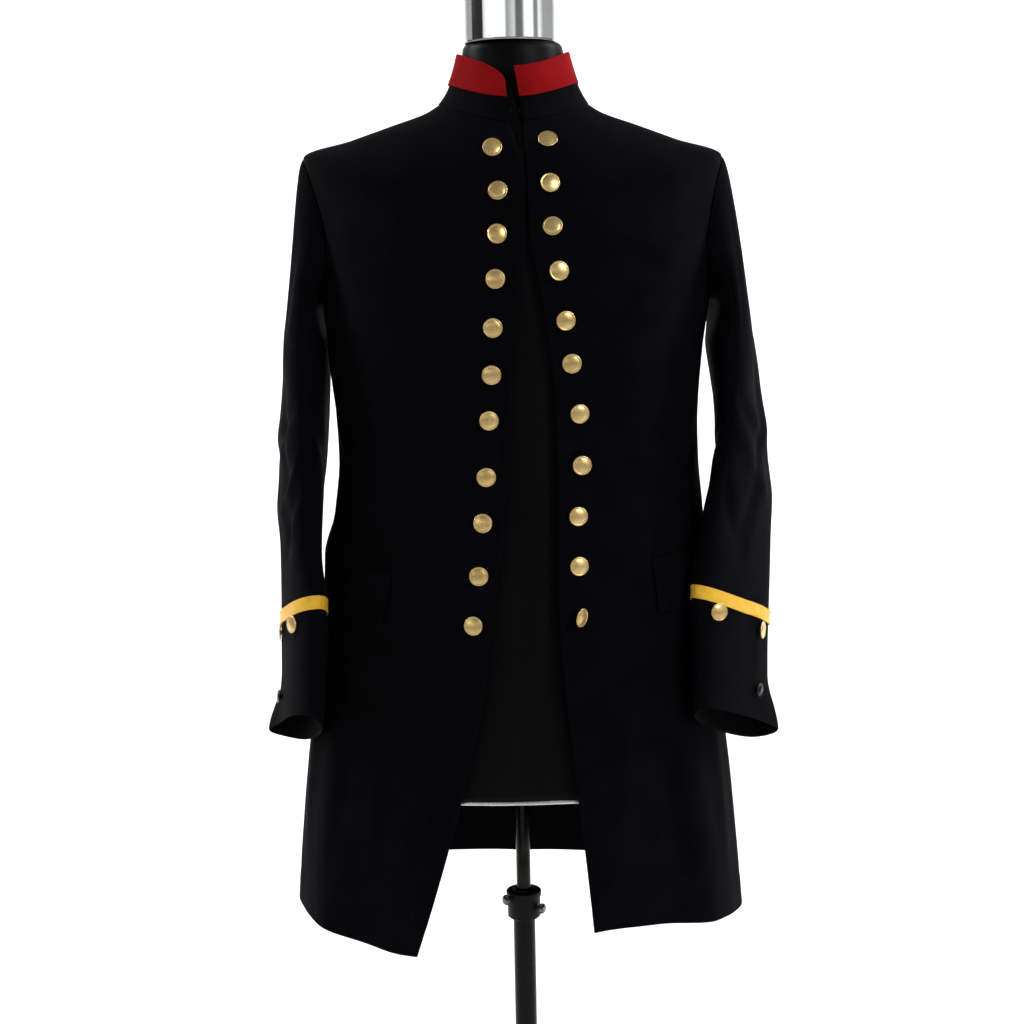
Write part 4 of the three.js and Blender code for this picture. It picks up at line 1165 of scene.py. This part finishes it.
def collar_wall(name, start, lift, wall, material, rows):
    """A wall of the collar from a share of its height up; its foot flares onto the coat."""
    ends = COLLAR_END_SHARES
    shares = np.concatenate([ends, np.linspace(0.11, 0.93, 120), 1 - ends[::-1][3:]])[None, :]
    steps = np.concatenate([[0, 0.03, 0.07], np.linspace(0.13, 0.87, rows), [0.93, 0.97, 1]])[:, None]
    rise = start + (collar_top(shares) - start) * steps
    angle = collar_angle(rise, shares)
    normal = collar_normal(rise, angle)
    wave = collar_wave(angle) * smooth_step(0, 0.4, steps)
    foot = np.clip(1 - rise / COLLAR_FOOT["rise"], 0, 1) ** 2
    outer = collar_point(rise, angle) + normal * (lift + wave + COLLAR_FOOT["out"] * foot)[..., None]
    cos, sin = cos_sin(angle)
    steep = np.where(sin < 0, COLLAR_FOOT["down_front"], COLLAR_FOOT["down_back"])
    down = COLLAR_FOOT["down"] + (steep - COLLAR_FOOT["down"]) * sin ** 2
    down = down + COLLAR_FOOT["down_left"] * np.maximum(cos, 0)
    outer[..., 2] -= down * foot
    sewn = () if start > 0 else ("low",)
    return cloth_wall(name, outer, outer - normal * wall, material, sewn=sewn), outer


stand, grid = collar_wall("wool_collar", 0, 0, COLLAR["wall"], WOOL, 12)
sew(stand, grid, "stretched", ["wool_front_left", "wool_front_right"], "collar_stand")
band, grid = collar_wall("red_collar_band", COLLAR["band_from"], LAID_ON + COLLAR["band_wall"],
                         COLLAR["band_wall"], RED, 10)
sew(band, grid, "stretched", ["wool_collar"], "collar_band", slot="red_cloth")

# %% [markdown]
# ## Pocket flaps
# Each flap hangs from a seam at the hip and stands a little off the skirt at its lower edge.
# It is laid on the front's own face, so it follows every fold beneath it.

# %% Flaps
FLAP = {"wall": 2, "height": 58, "length": 57, "stand_off": 3.5, "slant": 3.5, "belly": 0.6}
FLAP_PLACES = {1: {"start": -50.5, "top": 811}, -1: {"start": -53.5, "top": 803}}
FLAP_STITCH = {"in": 5, "depth": 0.35, "width": 1.0}
FLAP_EDGE = np.array([0, 0.012, 0.03, 0.055])
FLAP_MIDDLE = (0.09, 0.91)


def flap_place(side, down, share):
    """Station, angle and lift off the front for a place on the flap."""
    place = FLAP_PLACES[side]
    station = place["top"] - down * FLAP["height"]
    swing = place["start"] + down * FLAP["slant"]
    angle = mirrored(side, swing + degrees_for(station, mirrored(side, swing), FLAP["length"]) * share)
    relief = np.clip(body_relief(station, angle, SEEDS["front"] + side), 0, None)
    return station, angle, FLAP["stand_off"] * down ** 2 * bell(share, FLAP["belly"]) + relief


def flap_steps(count):
    return np.concatenate([FLAP_EDGE, np.linspace(*FLAP_MIDDLE, count), 1 - FLAP_EDGE[::-1]])


def pocket_flap(side_name, side):
    down, share = flap_steps(26)[:, None], flap_steps(36)[None, :]
    station, angle, away = flap_place(side, down, share)
    stitch = 0
    for edge in (np.minimum(share, 1 - share) * FLAP["length"], (1 - down) * FLAP["height"]):
        stitch = stitch - FLAP_STITCH["depth"] * bell(edge - FLAP_STITCH["in"], FLAP_STITCH["width"])
    base, normal = body_point(station, angle), body_normal(station, angle)
    outer = base + normal * (LAID_ON + FLAP["wall"] + away + stitch)[..., None]
    inner = base + normal * (LAID_ON + away)[..., None]
    piece = cloth_wall(f"wool_flap_{side_name}", outer, inner, WOOL)
    sew(piece, outer, "hung", [f"wool_front_{side_name}"], f"flap_{side_name}")


for side_name, side in SIDES.items():
    pocket_flap(side_name, side)

# %% [markdown]
# ## Buttons
# Each button is a domed gilt disc with a rolled rim. A small Geometry Nodes tree puts one
# turned blank on each point and turns it by that point's own attribute, because a row of
# buttons is one shape repeated. The points are read from the frame, so every button sits
# exactly where its CAD piece is and tips the same way.

# %% Where the buttons sit
NEAR_RIM = {"height": 0.97, "ring": 0.9}


def seat_of(node):
    """The top middle of a turned CAD piece and the way that it faces, from its vertices."""
    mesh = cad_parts[node].data
    points = np.zeros(len(mesh.vertices) * 3)
    mesh.vertices.foreach_get("co", points)
    points = np.unique(np.round(points.reshape(-1, 3), 6), axis=0)
    middle = points.mean(0)
    axis = np.linalg.eigh(np.cov((points - middle).T))[1][:, 0]
    height = (points - middle) @ axis
    reach = np.linalg.norm(points - middle - height[:, None] * axis, axis=1)
    rim_height = height[reach > reach.max() * NEAR_RIM["height"]].mean()
    if rim_height - height.min() < height.max() - rim_height:
        axis, height = -axis, -height
    ring = points[reach > reach.max() * NEAR_RIM["ring"]]
    centre = ring.mean(0) - axis * (((ring - middle) @ axis).mean())
    return centre + axis * height.max(), axis


def button_names(*starts):
    return sorted(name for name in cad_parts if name.startswith(starts))


print("buttons:", len(button_names("front_button", "cuff_button", "vent_button")))


# %% A button's profile
BUTTON_HEIGHT = 5.1
ROLL = {"radius": 0.75, "middle": -1.8, "start": 0.15, "steps": 9}
DOME = {"drop": 1.9, "shares": (0.68, 0.56, 0.43, 0.3, 0.15)}


def button_profile(radius):
    """From the shank's foot to the middle of the face, whose top is at height 0."""
    roll = [(radius - ROLL["radius"] + ROLL["radius"] * math.sin(t),
             ROLL["middle"] - ROLL["radius"] * math.cos(t))
            for t in np.linspace(ROLL["start"], math.pi, ROLL["steps"])]
    face = [(radius - 1.35, -1.28), (radius - 1.75, -1.38), (radius - 2.3, -1.22)]
    dome = [(radius * share, -DOME["drop"] * share * share) for share in DOME["shares"]]
    return [(0, -BUTTON_HEIGHT), (2.2, -BUTTON_HEIGHT), (2.5, 0.4 - BUTTON_HEIGHT), (2.5, -3.1),
            (radius * 0.6, -2.9), *roll, *face, *dome, (0, 0)]


print("button:", BUTTON_HEIGHT, "mm high with its shank")


# %% The tree that sets buttons
def tree_input(tree, name, kind):
    return tree.interface.new_socket(name, in_out="INPUT", socket_type=kind).identifier


def setting_tree():
    """Instances a blank on every point, turned and sized by the point's attributes."""
    tree = bpy.data.node_groups.new("set_on_points", "GeometryNodeTree")
    tree_input(tree, "Points", "NodeSocketGeometry")
    blank_id = tree_input(tree, "Blank", "NodeSocketObject")
    material_id = tree_input(tree, "Finish", "NodeSocketMaterial")
    tree.interface.new_socket("Set pieces", in_out="OUTPUT", socket_type="NodeSocketGeometry")
    links = tree.links
    start, end = tree.nodes.new("NodeGroupInput"), tree.nodes.new("NodeGroupOutput")
    blank = tree.nodes.new("GeometryNodeObjectInfo")
    place = tree.nodes.new("GeometryNodeInstanceOnPoints")
    real = tree.nodes.new("GeometryNodeRealizeInstances")
    finish = tree.nodes.new("GeometryNodeSetMaterial")
    for label, socket in (("turn", "Rotation"), ("size", "Scale")):
        value = tree.nodes.new("GeometryNodeInputNamedAttribute")
        value.data_type = "FLOAT_VECTOR"
        value.inputs["Name"].default_value = label
        links.new(value.outputs["Attribute"], place.inputs[socket])
    links.new(start.outputs["Points"], place.inputs["Points"])
    links.new(start.outputs["Blank"], blank.inputs["Object"])
    links.new(blank.outputs["Geometry"], place.inputs["Instance"])
    links.new(place.outputs["Instances"], real.inputs["Geometry"])
    links.new(real.outputs["Geometry"], finish.inputs["Geometry"])
    links.new(start.outputs["Finish"], finish.inputs["Material"])
    links.new(finish.outputs["Geometry"], end.inputs["Set pieces"])
    return tree, blank_id, material_id


SETTING, BLANK_ID, FINISH_ID = setting_tree()


def settle(source, name):
    """The evaluated result of an object's modifiers as a plain piece of its own."""
    bpy.context.view_layer.update()
    graph = bpy.context.evaluated_depsgraph_get()
    mesh = bpy.data.meshes.new_from_object(source.evaluated_get(graph))
    mesh.name = name
    piece = linked(name, mesh)
    bpy.data.objects.remove(source)
    return piece


def set_pieces(name, blank, places, material):
    """Sets the blank on places, each (point, turn as a 3 x 3 matrix, size along X, Y and Z)."""
    mesh = bpy.data.meshes.new(name + "_points")
    mesh.from_pydata([tuple(place[0]) for place in places], [], [])
    values = {"turn": [tuple(Matrix(turn).to_euler()) for _, turn, _ in places],
              "size": [tuple(np.broadcast_to(size, 3)) for _, _, size in places]}
    for label, value in values.items():
        mesh.attributes.new(label, "FLOAT_VECTOR", "POINT")
        mesh.attributes[label].data.foreach_set("vector", np.ravel(value))
    source = linked(name + "_source", mesh)
    modifier = source.modifiers.new("set", "NODES")
    modifier.node_group = SETTING
    modifier[BLANK_ID] = blank
    modifier[FINISH_ID] = material
    return settle(source, name)


def facing(axis, roll=0.0):
    """The turn that points Z along an axis."""
    return Vector(axis).to_track_quat("Z", "Y").to_matrix() @ Matrix.Rotation(roll, 3, "Z")


BUTTON_TURN = 0.7


def sewn_buttons(name, start, blank, material, size, slot):
    names = button_names(start)
    places = []
    for index, node in enumerate(names):
        point, axis = seat_of(node)
        places.append((point, facing(axis, BUTTON_TURN * index), size))
    declare(set_pieces(name, blank, places, material), "form", slot, *names)


# %% Set the buttons
BUTTON_RADII = {"front": 10.0, "cuff": 9.5, "vent": 7.5}
gilt_blank = lathe("gilt_blank", button_profile(BUTTON_RADII["front"]), 40, GILT)
small_blank = lathe("small_blank", button_profile(BUTTON_RADII["vent"]), 36, HORN)
cuff_share = BUTTON_RADII["cuff"] / BUTTON_RADII["front"]
for side_name in SIDES:
    sewn_buttons(f"gilt_buttons_{side_name}", f"front_button_{side_name}", gilt_blank, GILT, 1.0, "gilt")
    sewn_buttons(f"cuff_buttons_{side_name}", f"cuff_button_{side_name}", gilt_blank, GILT, cuff_share,
                 "gilt")
    sewn_buttons(f"vent_buttons_{side_name}", f"vent_button_{side_name}", small_blank, HORN, 1.0,
                 "black_button")

# %% Threads under the buttons
THREAD = {"radius": 1.3, "root": 1.2, "slack": "front_button_left_11", "slack_length": 6.4, "lap": 0.3}
THREAD_PROFILE = [(0, -1), (0.8, -1), (1, -0.8), (0.85, -0.6), (1, -0.4), (0.85, -0.2), (0.9, 0), (0, 0)]


def button_threads():
    """A wound stem of thread under each button; one button hangs on a long slack stem."""
    blank = lathe("thread_blank", THREAD_PROFILE, 10, WOOL)
    places = []
    for node in button_names("front_button", "cuff_button", "vent_button"):
        point, axis = seat_of(node)
        length = THREAD["root"] + (THREAD["slack_length"] if node == THREAD["slack"] else 0)
        foot = point - axis * (BUTTON_HEIGHT - THREAD["lap"]) * MM
        places.append((foot, facing(axis), (THREAD["radius"], THREAD["radius"], length)))
    declare(set_pieces("button_threads", blank, places, WOOL), "form", "wool")
    bpy.data.objects.remove(blank)


button_threads()
for blank in (gilt_blank, small_blank):
    bpy.data.objects.remove(blank)

# %% [markdown]
# ## Stitches
# Short stitches run along the edges that are sewn down: both edges of the braid, the collar
# band, the flaps and the coat's free front edges. One small blank is set along each run by the
# same tree, so a stitch is a real raised thread of its own colour.

# %% Runs of stitches
STITCHES = {
    # pitch and length along the run, in mm
    "coat": (3.6, 2.3), "braid": (2.6, 1.5), "band": (3.2, 1.9)}
STITCH_THICK = 0.28
STITCH_PROFILE = [(0, -1), (0.6, -0.85), (1, -0.4), (1, 0.4), (0.6, 0.85), (0, 1)]
HALF_SUNK = 0.1


def along_path(marks, along, values):
    return np.stack([np.interp(marks, along, values[:, k]) for k in range(3)], -1)


def stitch_places(path, normals, kind):
    """Places along a path in mm: the stitch lies along the path and stands on the normal."""
    pitch, length = STITCHES[kind]
    steps = np.linalg.norm(np.diff(path, axis=0), axis=1)
    along = np.concatenate([[0], np.cumsum(steps)])
    count = int(along[-1] / pitch)
    marks = (np.arange(count) + 0.5) * along[-1] / count
    points, ups = along_path(marks, along, path), unit(along_path(marks, along, normals))
    ahead = along_path(marks + 0.5, along, path) - points
    ahead = unit(ahead - ups * np.einsum("ij,ij->i", ahead, ups)[:, None])
    turns = np.stack([ahead, np.cross(ups, ahead), ups], -1)
    size = (length / 2, STITCH_THICK, STITCH_THICK)
    return [(point * MM, turn.tolist(), size) for point, turn in zip(points, turns)]


print("stitches:", ", ".join(STITCHES))


# %% Stitches of the coat
EDGE_INSET = {"front": 7.5, "flap": 5, "hem": 30, "neck": 12, "lift": 0.45}


def front_edge_path(side):
    stations = np.linspace(HEM_STATION + EDGE_INSET["hem"], NECK_STATION - EDGE_INSET["neck"], 260)
    start, end = front_edge_angle(side, stations), side_seam(side, stations)
    angle = start + np.sign(end - start) * degrees_for(stations, start, EDGE_INSET["front"])
    normal = body_normal(stations, angle)
    return body_point(stations, angle) + normal * EDGE_INSET["lift"], normal


def flap_path(side):
    """Down the flap's front edge, along its lower edge and up its back edge."""
    low = EDGE_INSET["flap"] / FLAP["length"]
    top, bottom = 0.04, 1 - EDGE_INSET["flap"] / FLAP["height"]
    down = np.concatenate([np.linspace(top, bottom, 20), np.full(24, bottom), np.linspace(bottom, top, 20)])
    share = np.concatenate([np.full(20, low), np.linspace(low, 1 - low, 24), np.full(20, 1 - low)])
    station, angle, lift = flap_place(side, down, share)
    normal = body_normal(station, angle)
    lift = lift + LAID_ON + FLAP["wall"] - HALF_SUNK
    return body_point(station, angle) + normal * lift[:, None], normal


def braid_path(side, share):
    around = np.linspace(0, 360, 200)
    runs = run_at(side, around, BRAID_AT["centre"] + share * BRAID_AT["width"])
    normal = sleeve_normal(side, runs, around)
    lift = relief_on_sleeve(side, runs, around) + LAID_ON + BRAID_AT["wall"] + HALF_SUNK
    return sleeve_point(side, runs, around) + normal * lift[:, None], normal


def band_path(step):
    shares = np.linspace(0.012, 0.988, 240)
    rise = COLLAR["band_from"] + (collar_top(shares) - COLLAR["band_from"]) * step
    angle = collar_angle(rise, shares)
    normal = collar_normal(rise, angle)
    lift = collar_wave(angle) + LAID_ON + COLLAR["band_wall"]
    return collar_point(rise, angle) + normal * lift[:, None], normal


def stitches_along(name, kind, paths, blank, material, slot):
    places = [place for path in paths for place in stitch_places(*path, kind)]
    declare(set_pieces(name, blank, places, material), "form", slot)


blank = lathe("stitch_blank", STITCH_PROFILE, 6, WOOL)
blank.data.transform(Matrix.Rotation(math.pi / 2, 4, "Y"))
for side_name, side in SIDES.items():
    stitches_along(f"edge_stitches_{side_name}", "coat", [front_edge_path(side), flap_path(side)],
                   blank, WOOL, "wool")
    stitches_along(f"braid_stitches_{side_name}", "braid",
                   [braid_path(side, share) for share in (BRAID_EDGE["at"], -BRAID_EDGE["at"])],
                   blank, BRAID, "gold_braid")
stitches_along("band_stitches", "band", [band_path(step) for step in (0.07, 0.93)], blank, RED, "red_cloth")
bpy.data.objects.remove(blank)

# %% [markdown]
# ## The dress form
# The form is smooth, whole and limbless, in black satin drawn tight. It is the coat's own
# sections moved in, so the shoulders carry the cloth and the waist stands clear of it.

# %% Form
FORM = {"bottom": 553, "half_width": 197, "side_power": 14, "sides": 144}
FORM_INSET = smooth_table(["station", "inset"], [
    [553, 19], [650, 17], [806, 14], [905, 12], [1020, 11], [1160, 9], [1229, 4.4], [1280, 3.4],
    [1365, 3.4], [1390, 4.5]])
NECK = {"half": 55, "depth_share": 0.9, "forward": 6, "top": 1351}
NECK_RINGS = [
    # height, share of the neck's size
    (1312, 1), (1325, 0.99), (NECK["top"] - 8, 0.98), (NECK["top"] - 4, 0.965),
    (NECK["top"] - 1.2, 0.935), (NECK["top"], 0.9)]
FORM_EDGE = [
    # share of the lowest ring, height above the bottom: the satin turns under the plate's edge
    (0.97, 0), (0.992, 0.4)]
FORM_EDGE_RISE = 1.5


def form_point(station, angle):
    """The form's surface: the coat's own, moved in, and no wider than the form."""
    inset = FORM_INSET(station)["inset"]
    point = body_point(station, angle) - body_normal(station, angle) * np.asarray(inset)[..., None]
    centre, power = BODY(station)["centre"], FORM["side_power"]
    reach = np.abs(point[..., 0] - centre) / FORM["half_width"]
    point[..., 0] = centre + (point[..., 0] - centre) / (1 + reach ** power) ** (1 / power)
    return point


def dress_form():
    angles = np.linspace(0, 360, FORM["sides"], endpoint=False)[None, :]
    stations = np.concatenate([np.linspace(FORM["bottom"], ARMHOLE["centre"], 84),
                               np.linspace(ARMHOLE["centre"], NECK_STATION, 52)[1:]])[:, None]
    rings = form_point(stations, angles)
    rings[0, :, 2] = FORM["bottom"]
    edge = [rings[0] * [share, share, 1] + [0, 0, rise] for share, rise in FORM_EDGE]
    rings[0, :, 2] += FORM_EDGE_RISE
    cos, sin = cos_sin(angles[0])
    neck = [np.stack([float(BODY(NECK_STATION)["centre"]) + NECK["half"] * share * cos,
                      NECK["half"] * share * NECK["depth_share"] * sin - NECK["forward"],
                      np.full(cos.shape, height)], -1) for height, share in NECK_RINGS]
    rings = np.concatenate([np.array(edge), rings, np.array(neck)])
    return capped_stack("satin_form", rings, [rings[0].mean(0), rings[-1].mean(0)], SATIN)


form = dress_form()
declare(form, "form", "black_satin", "form_torso")

# %% [markdown]
# ## The stand
# A chromed cap closes the neck and a bright plate the form's underside, with a bolted flange
# beneath it. A post slides in a tube, and a clamp with two ball-headed bolts holds it. Apart
# from the plate they are turned pieces with small rounded edges, at the frame's own sizes.

# %% Turned pieces of the stand
FIT = 0.35
SHARP_ANGLE = 38
SUPPORT = 1.08
PLATE_THICK = 4
PLATE_LOW = FORM["bottom"] - FIT - PLATE_THICK
PLATE_RINGS = [
    # height, share of the form's own edge
    (0, 0.99), (0.5, 0.9985), (1.2, 1), (PLATE_THICK - 1, 1), (PLATE_THICK, 0.995)]
FLANGE = {"top": PLATE_LOW - FIT, "radius": 24, "hub_radius": 14, "thick": 5, "hub": 18}
CAP = {"radius": 50.5, "top": 1400, "centre": (2.5, -6), "edge": 2.2}
TUBE = {"radius": 12.5, "bore": 8.7, "low": 24, "top": 409}
POST_SIZE = {"radius": 8.2, "low": 120}
CLAMP = {"radius": 20, "low": 375, "top": 407, "left": 389, "right": 400, "to_front": 34}
BASE = {"radius": 190, "edge": 7, "middle": 16, "hub_radius": 30, "hub_top": 62, "round": 1.5}


def rounded(corners, radius=0.6):
    """Rounds each corner of a profile; a point beside each bevel keeps the walls flat."""
    corners = np.array(corners, float)
    path = [corners[0]]
    for before, corner, after in zip(corners[:-2], corners[1:-1], corners[2:]):
        to_before, to_after = before - corner, after - corner
        reach = min(radius, np.linalg.norm(to_before) * 0.45, np.linalg.norm(to_after) * 0.45)
        start, end = corner + unit(to_before) * reach, corner + unit(to_after) * reach
        path += [corner + unit(to_before) * reach * SUPPORT, start, (start + end) / 4 + corner / 2, end,
                 corner + unit(to_after) * reach * SUPPORT]
    return [*path, corners[-1]]


def finished(piece, node, body, slot):
    """Shades a hard piece smooth between its edges and says what it stands for."""
    piece.data.set_sharp_from_angle(angle=math.radians(SHARP_ANGLE))
    declare(piece, body, slot, node)


def neck_cap():
    low, radius, top = NECK["top"] + FIT, CAP["radius"], CAP["top"]
    profile = rounded([(0, low), (radius, low), (radius, top), (0, top)], CAP["edge"])
    cap = lathe("chrome_cap", profile, 128, CHROME)
    cap.data.transform(Matrix.Translation((*(MM * place for place in CAP["centre"]), 0)))
    return cap


def bottom_plate():
    angles = np.linspace(0, 360, FORM["sides"], endpoint=False)[None, :]
    edge = form_point(np.array([[float(FORM["bottom"])]]), angles)[0]
    rings = np.array([edge * [share, share, 1] for _, share in PLATE_RINGS])
    for ring, (height, _) in zip(rings, PLATE_RINGS):
        ring[:, 2] = PLATE_LOW + height
    return capped_stack("bottom_plate", rings, [rings[0].mean(0), rings[-1].mean(0)], PLATE)


def plate_flange():
    top, hub, radius = FLANGE["top"], FLANGE["hub_radius"], FLANGE["radius"]
    foot, step = top - FLANGE["hub"], top - FLANGE["thick"]
    profile = [(0, foot), (hub, foot), (hub, step), (radius, step), (radius, top), (0, top)]
    return lathe("plate_flange", rounded(profile), 64, STEEL)


def sliding_post():
    low, radius, top = POST_SIZE["low"], POST_SIZE["radius"], FLANGE["top"] - FLANGE["hub"] - FIT
    return lathe("sliding_post", rounded([(0, low), (radius, low), (radius, top), (0, top)]), 64, POST)


def stand_tube():
    low, top, bore, radius = TUBE["low"], TUBE["top"], TUBE["bore"], TUBE["radius"]
    loop = [(bore, low), (radius, low), (radius, top - 1), (radius - 1, top), (bore + 0.6, top),
            (bore, top - 0.6)]
    return turned_ring("stand_tube", loop, 72, STEEL)


def tube_clamp():
    low, top, bore, radius = CLAMP["low"], CLAMP["top"], TUBE["radius"] + FIT, CLAMP["radius"]
    loop = [(bore, low), (radius - 3.5, low), (radius - 1.2, low + 2), (radius - 1.2, top - 7),
            (radius, top - 6), (radius, top - 0.8), (radius - 0.8, top), (bore + 0.6, top),
            (bore, top - 0.6)]
    return turned_ring("tube_clamp", loop, 96, PLASTIC)


def round_base():
    bore, radius, edge = TUBE["radius"] + FIT, BASE["radius"], BASE["edge"]
    hub, top, seat = BASE["hub_radius"], BASE["hub_top"], TUBE["low"] - FIT
    profile = [(0, 0), (radius, 0), (radius, edge), (radius - 8, edge + 3), (hub + 16, BASE["middle"]),
               (hub, top - 24), (hub - 4, top), (bore, top), (bore, seat), (0, seat)]
    return lathe("round_base", rounded(profile, BASE["round"]), 128, STEEL)


finished(neck_cap(), "neck_cap", "form", "chrome")
finished(bottom_plate(), "form_plate", "form", "plate_metal")
finished(plate_flange(), "flange", "form", "black_steel")
finished(sliding_post(), "inner_post", "post", "black_steel")
finished(stand_tube(), "outer_tube", "stand", "black_steel")
finished(tube_clamp(), "clamp_collar", "stand", "black_plastic")
finished(round_base(), "stand_base", "stand", "black_steel")

# %% Hook and eye at the throat
HOOK = {"rise": 0.1, "ring": 2.3, "wire": 0.5, "inside": 1.3, "steps": 10}

for side_name, side in SIDES.items():
    angle = collar_end_angle(side, HOOK["rise"])
    normal = collar_normal(HOOK["rise"], angle)
    foot = collar_point(HOOK["rise"], angle) - normal * HOOK["inside"]
    turn = np.linspace(0, 2 * math.pi, HOOK["steps"], endpoint=False)
    loop = np.stack([HOOK["ring"] + HOOK["wire"] * np.cos(turn), HOOK["wire"] * np.sin(turn)], -1)
    eye = turned_ring(f"throat_hook_{side_name}", loop, 36, STEEL)
    eye.data.transform(Matrix.Translation(foot * MM) @ facing(normal).to_4x4())
    declare(eye, "form", "black_steel")

# %% Clamp bolts and flange bolts
BALL = [
    (0, 0), (3, 0), (3, 1.3), (4.6, 1.6), (5.7, 2.7), (6, 4.2), (5.7, 5.6), (4.7, 6.8), (2.7, 7.4), (0, 7.5)]
BOLT = [(0, 0), (3.4, 0), (3.6, 1.2), (2.9, 2.4), (1.5, 3.0), (0, 3.2)]
FLANGE_BOLT_REACH = 19

for side_name, side in SIDES.items():
    turn = math.radians(CLAMP["to_front"])
    away = Vector((side * math.cos(turn), -math.sin(turn), 0))
    foot = away * (CLAMP["radius"] + FIT)
    foot.z = CLAMP[side_name]
    ball = lathe(f"clamp_bolt_{side_name}", BALL, 40, BOLTS)
    ball.data.transform(Matrix.Translation(foot * MM) @ facing(away).to_4x4())
    finished(ball, f"knob_{side_name}", f"knob_{side_name}", "black_steel")

bolt = lathe("bolt_blank", BOLT, 24, BOLTS)
bolt_height = (FLANGE["top"] - FLANGE["thick"]) * MM
places = [((side * FLANGE_BOLT_REACH * MM, 0, bolt_height), facing((0, 0, -1)), 1.0) for side in (1, -1)]
declare(set_pieces("flange_bolts", bolt, places, BOLTS), "form", "black_steel")
bpy.data.objects.remove(bolt)
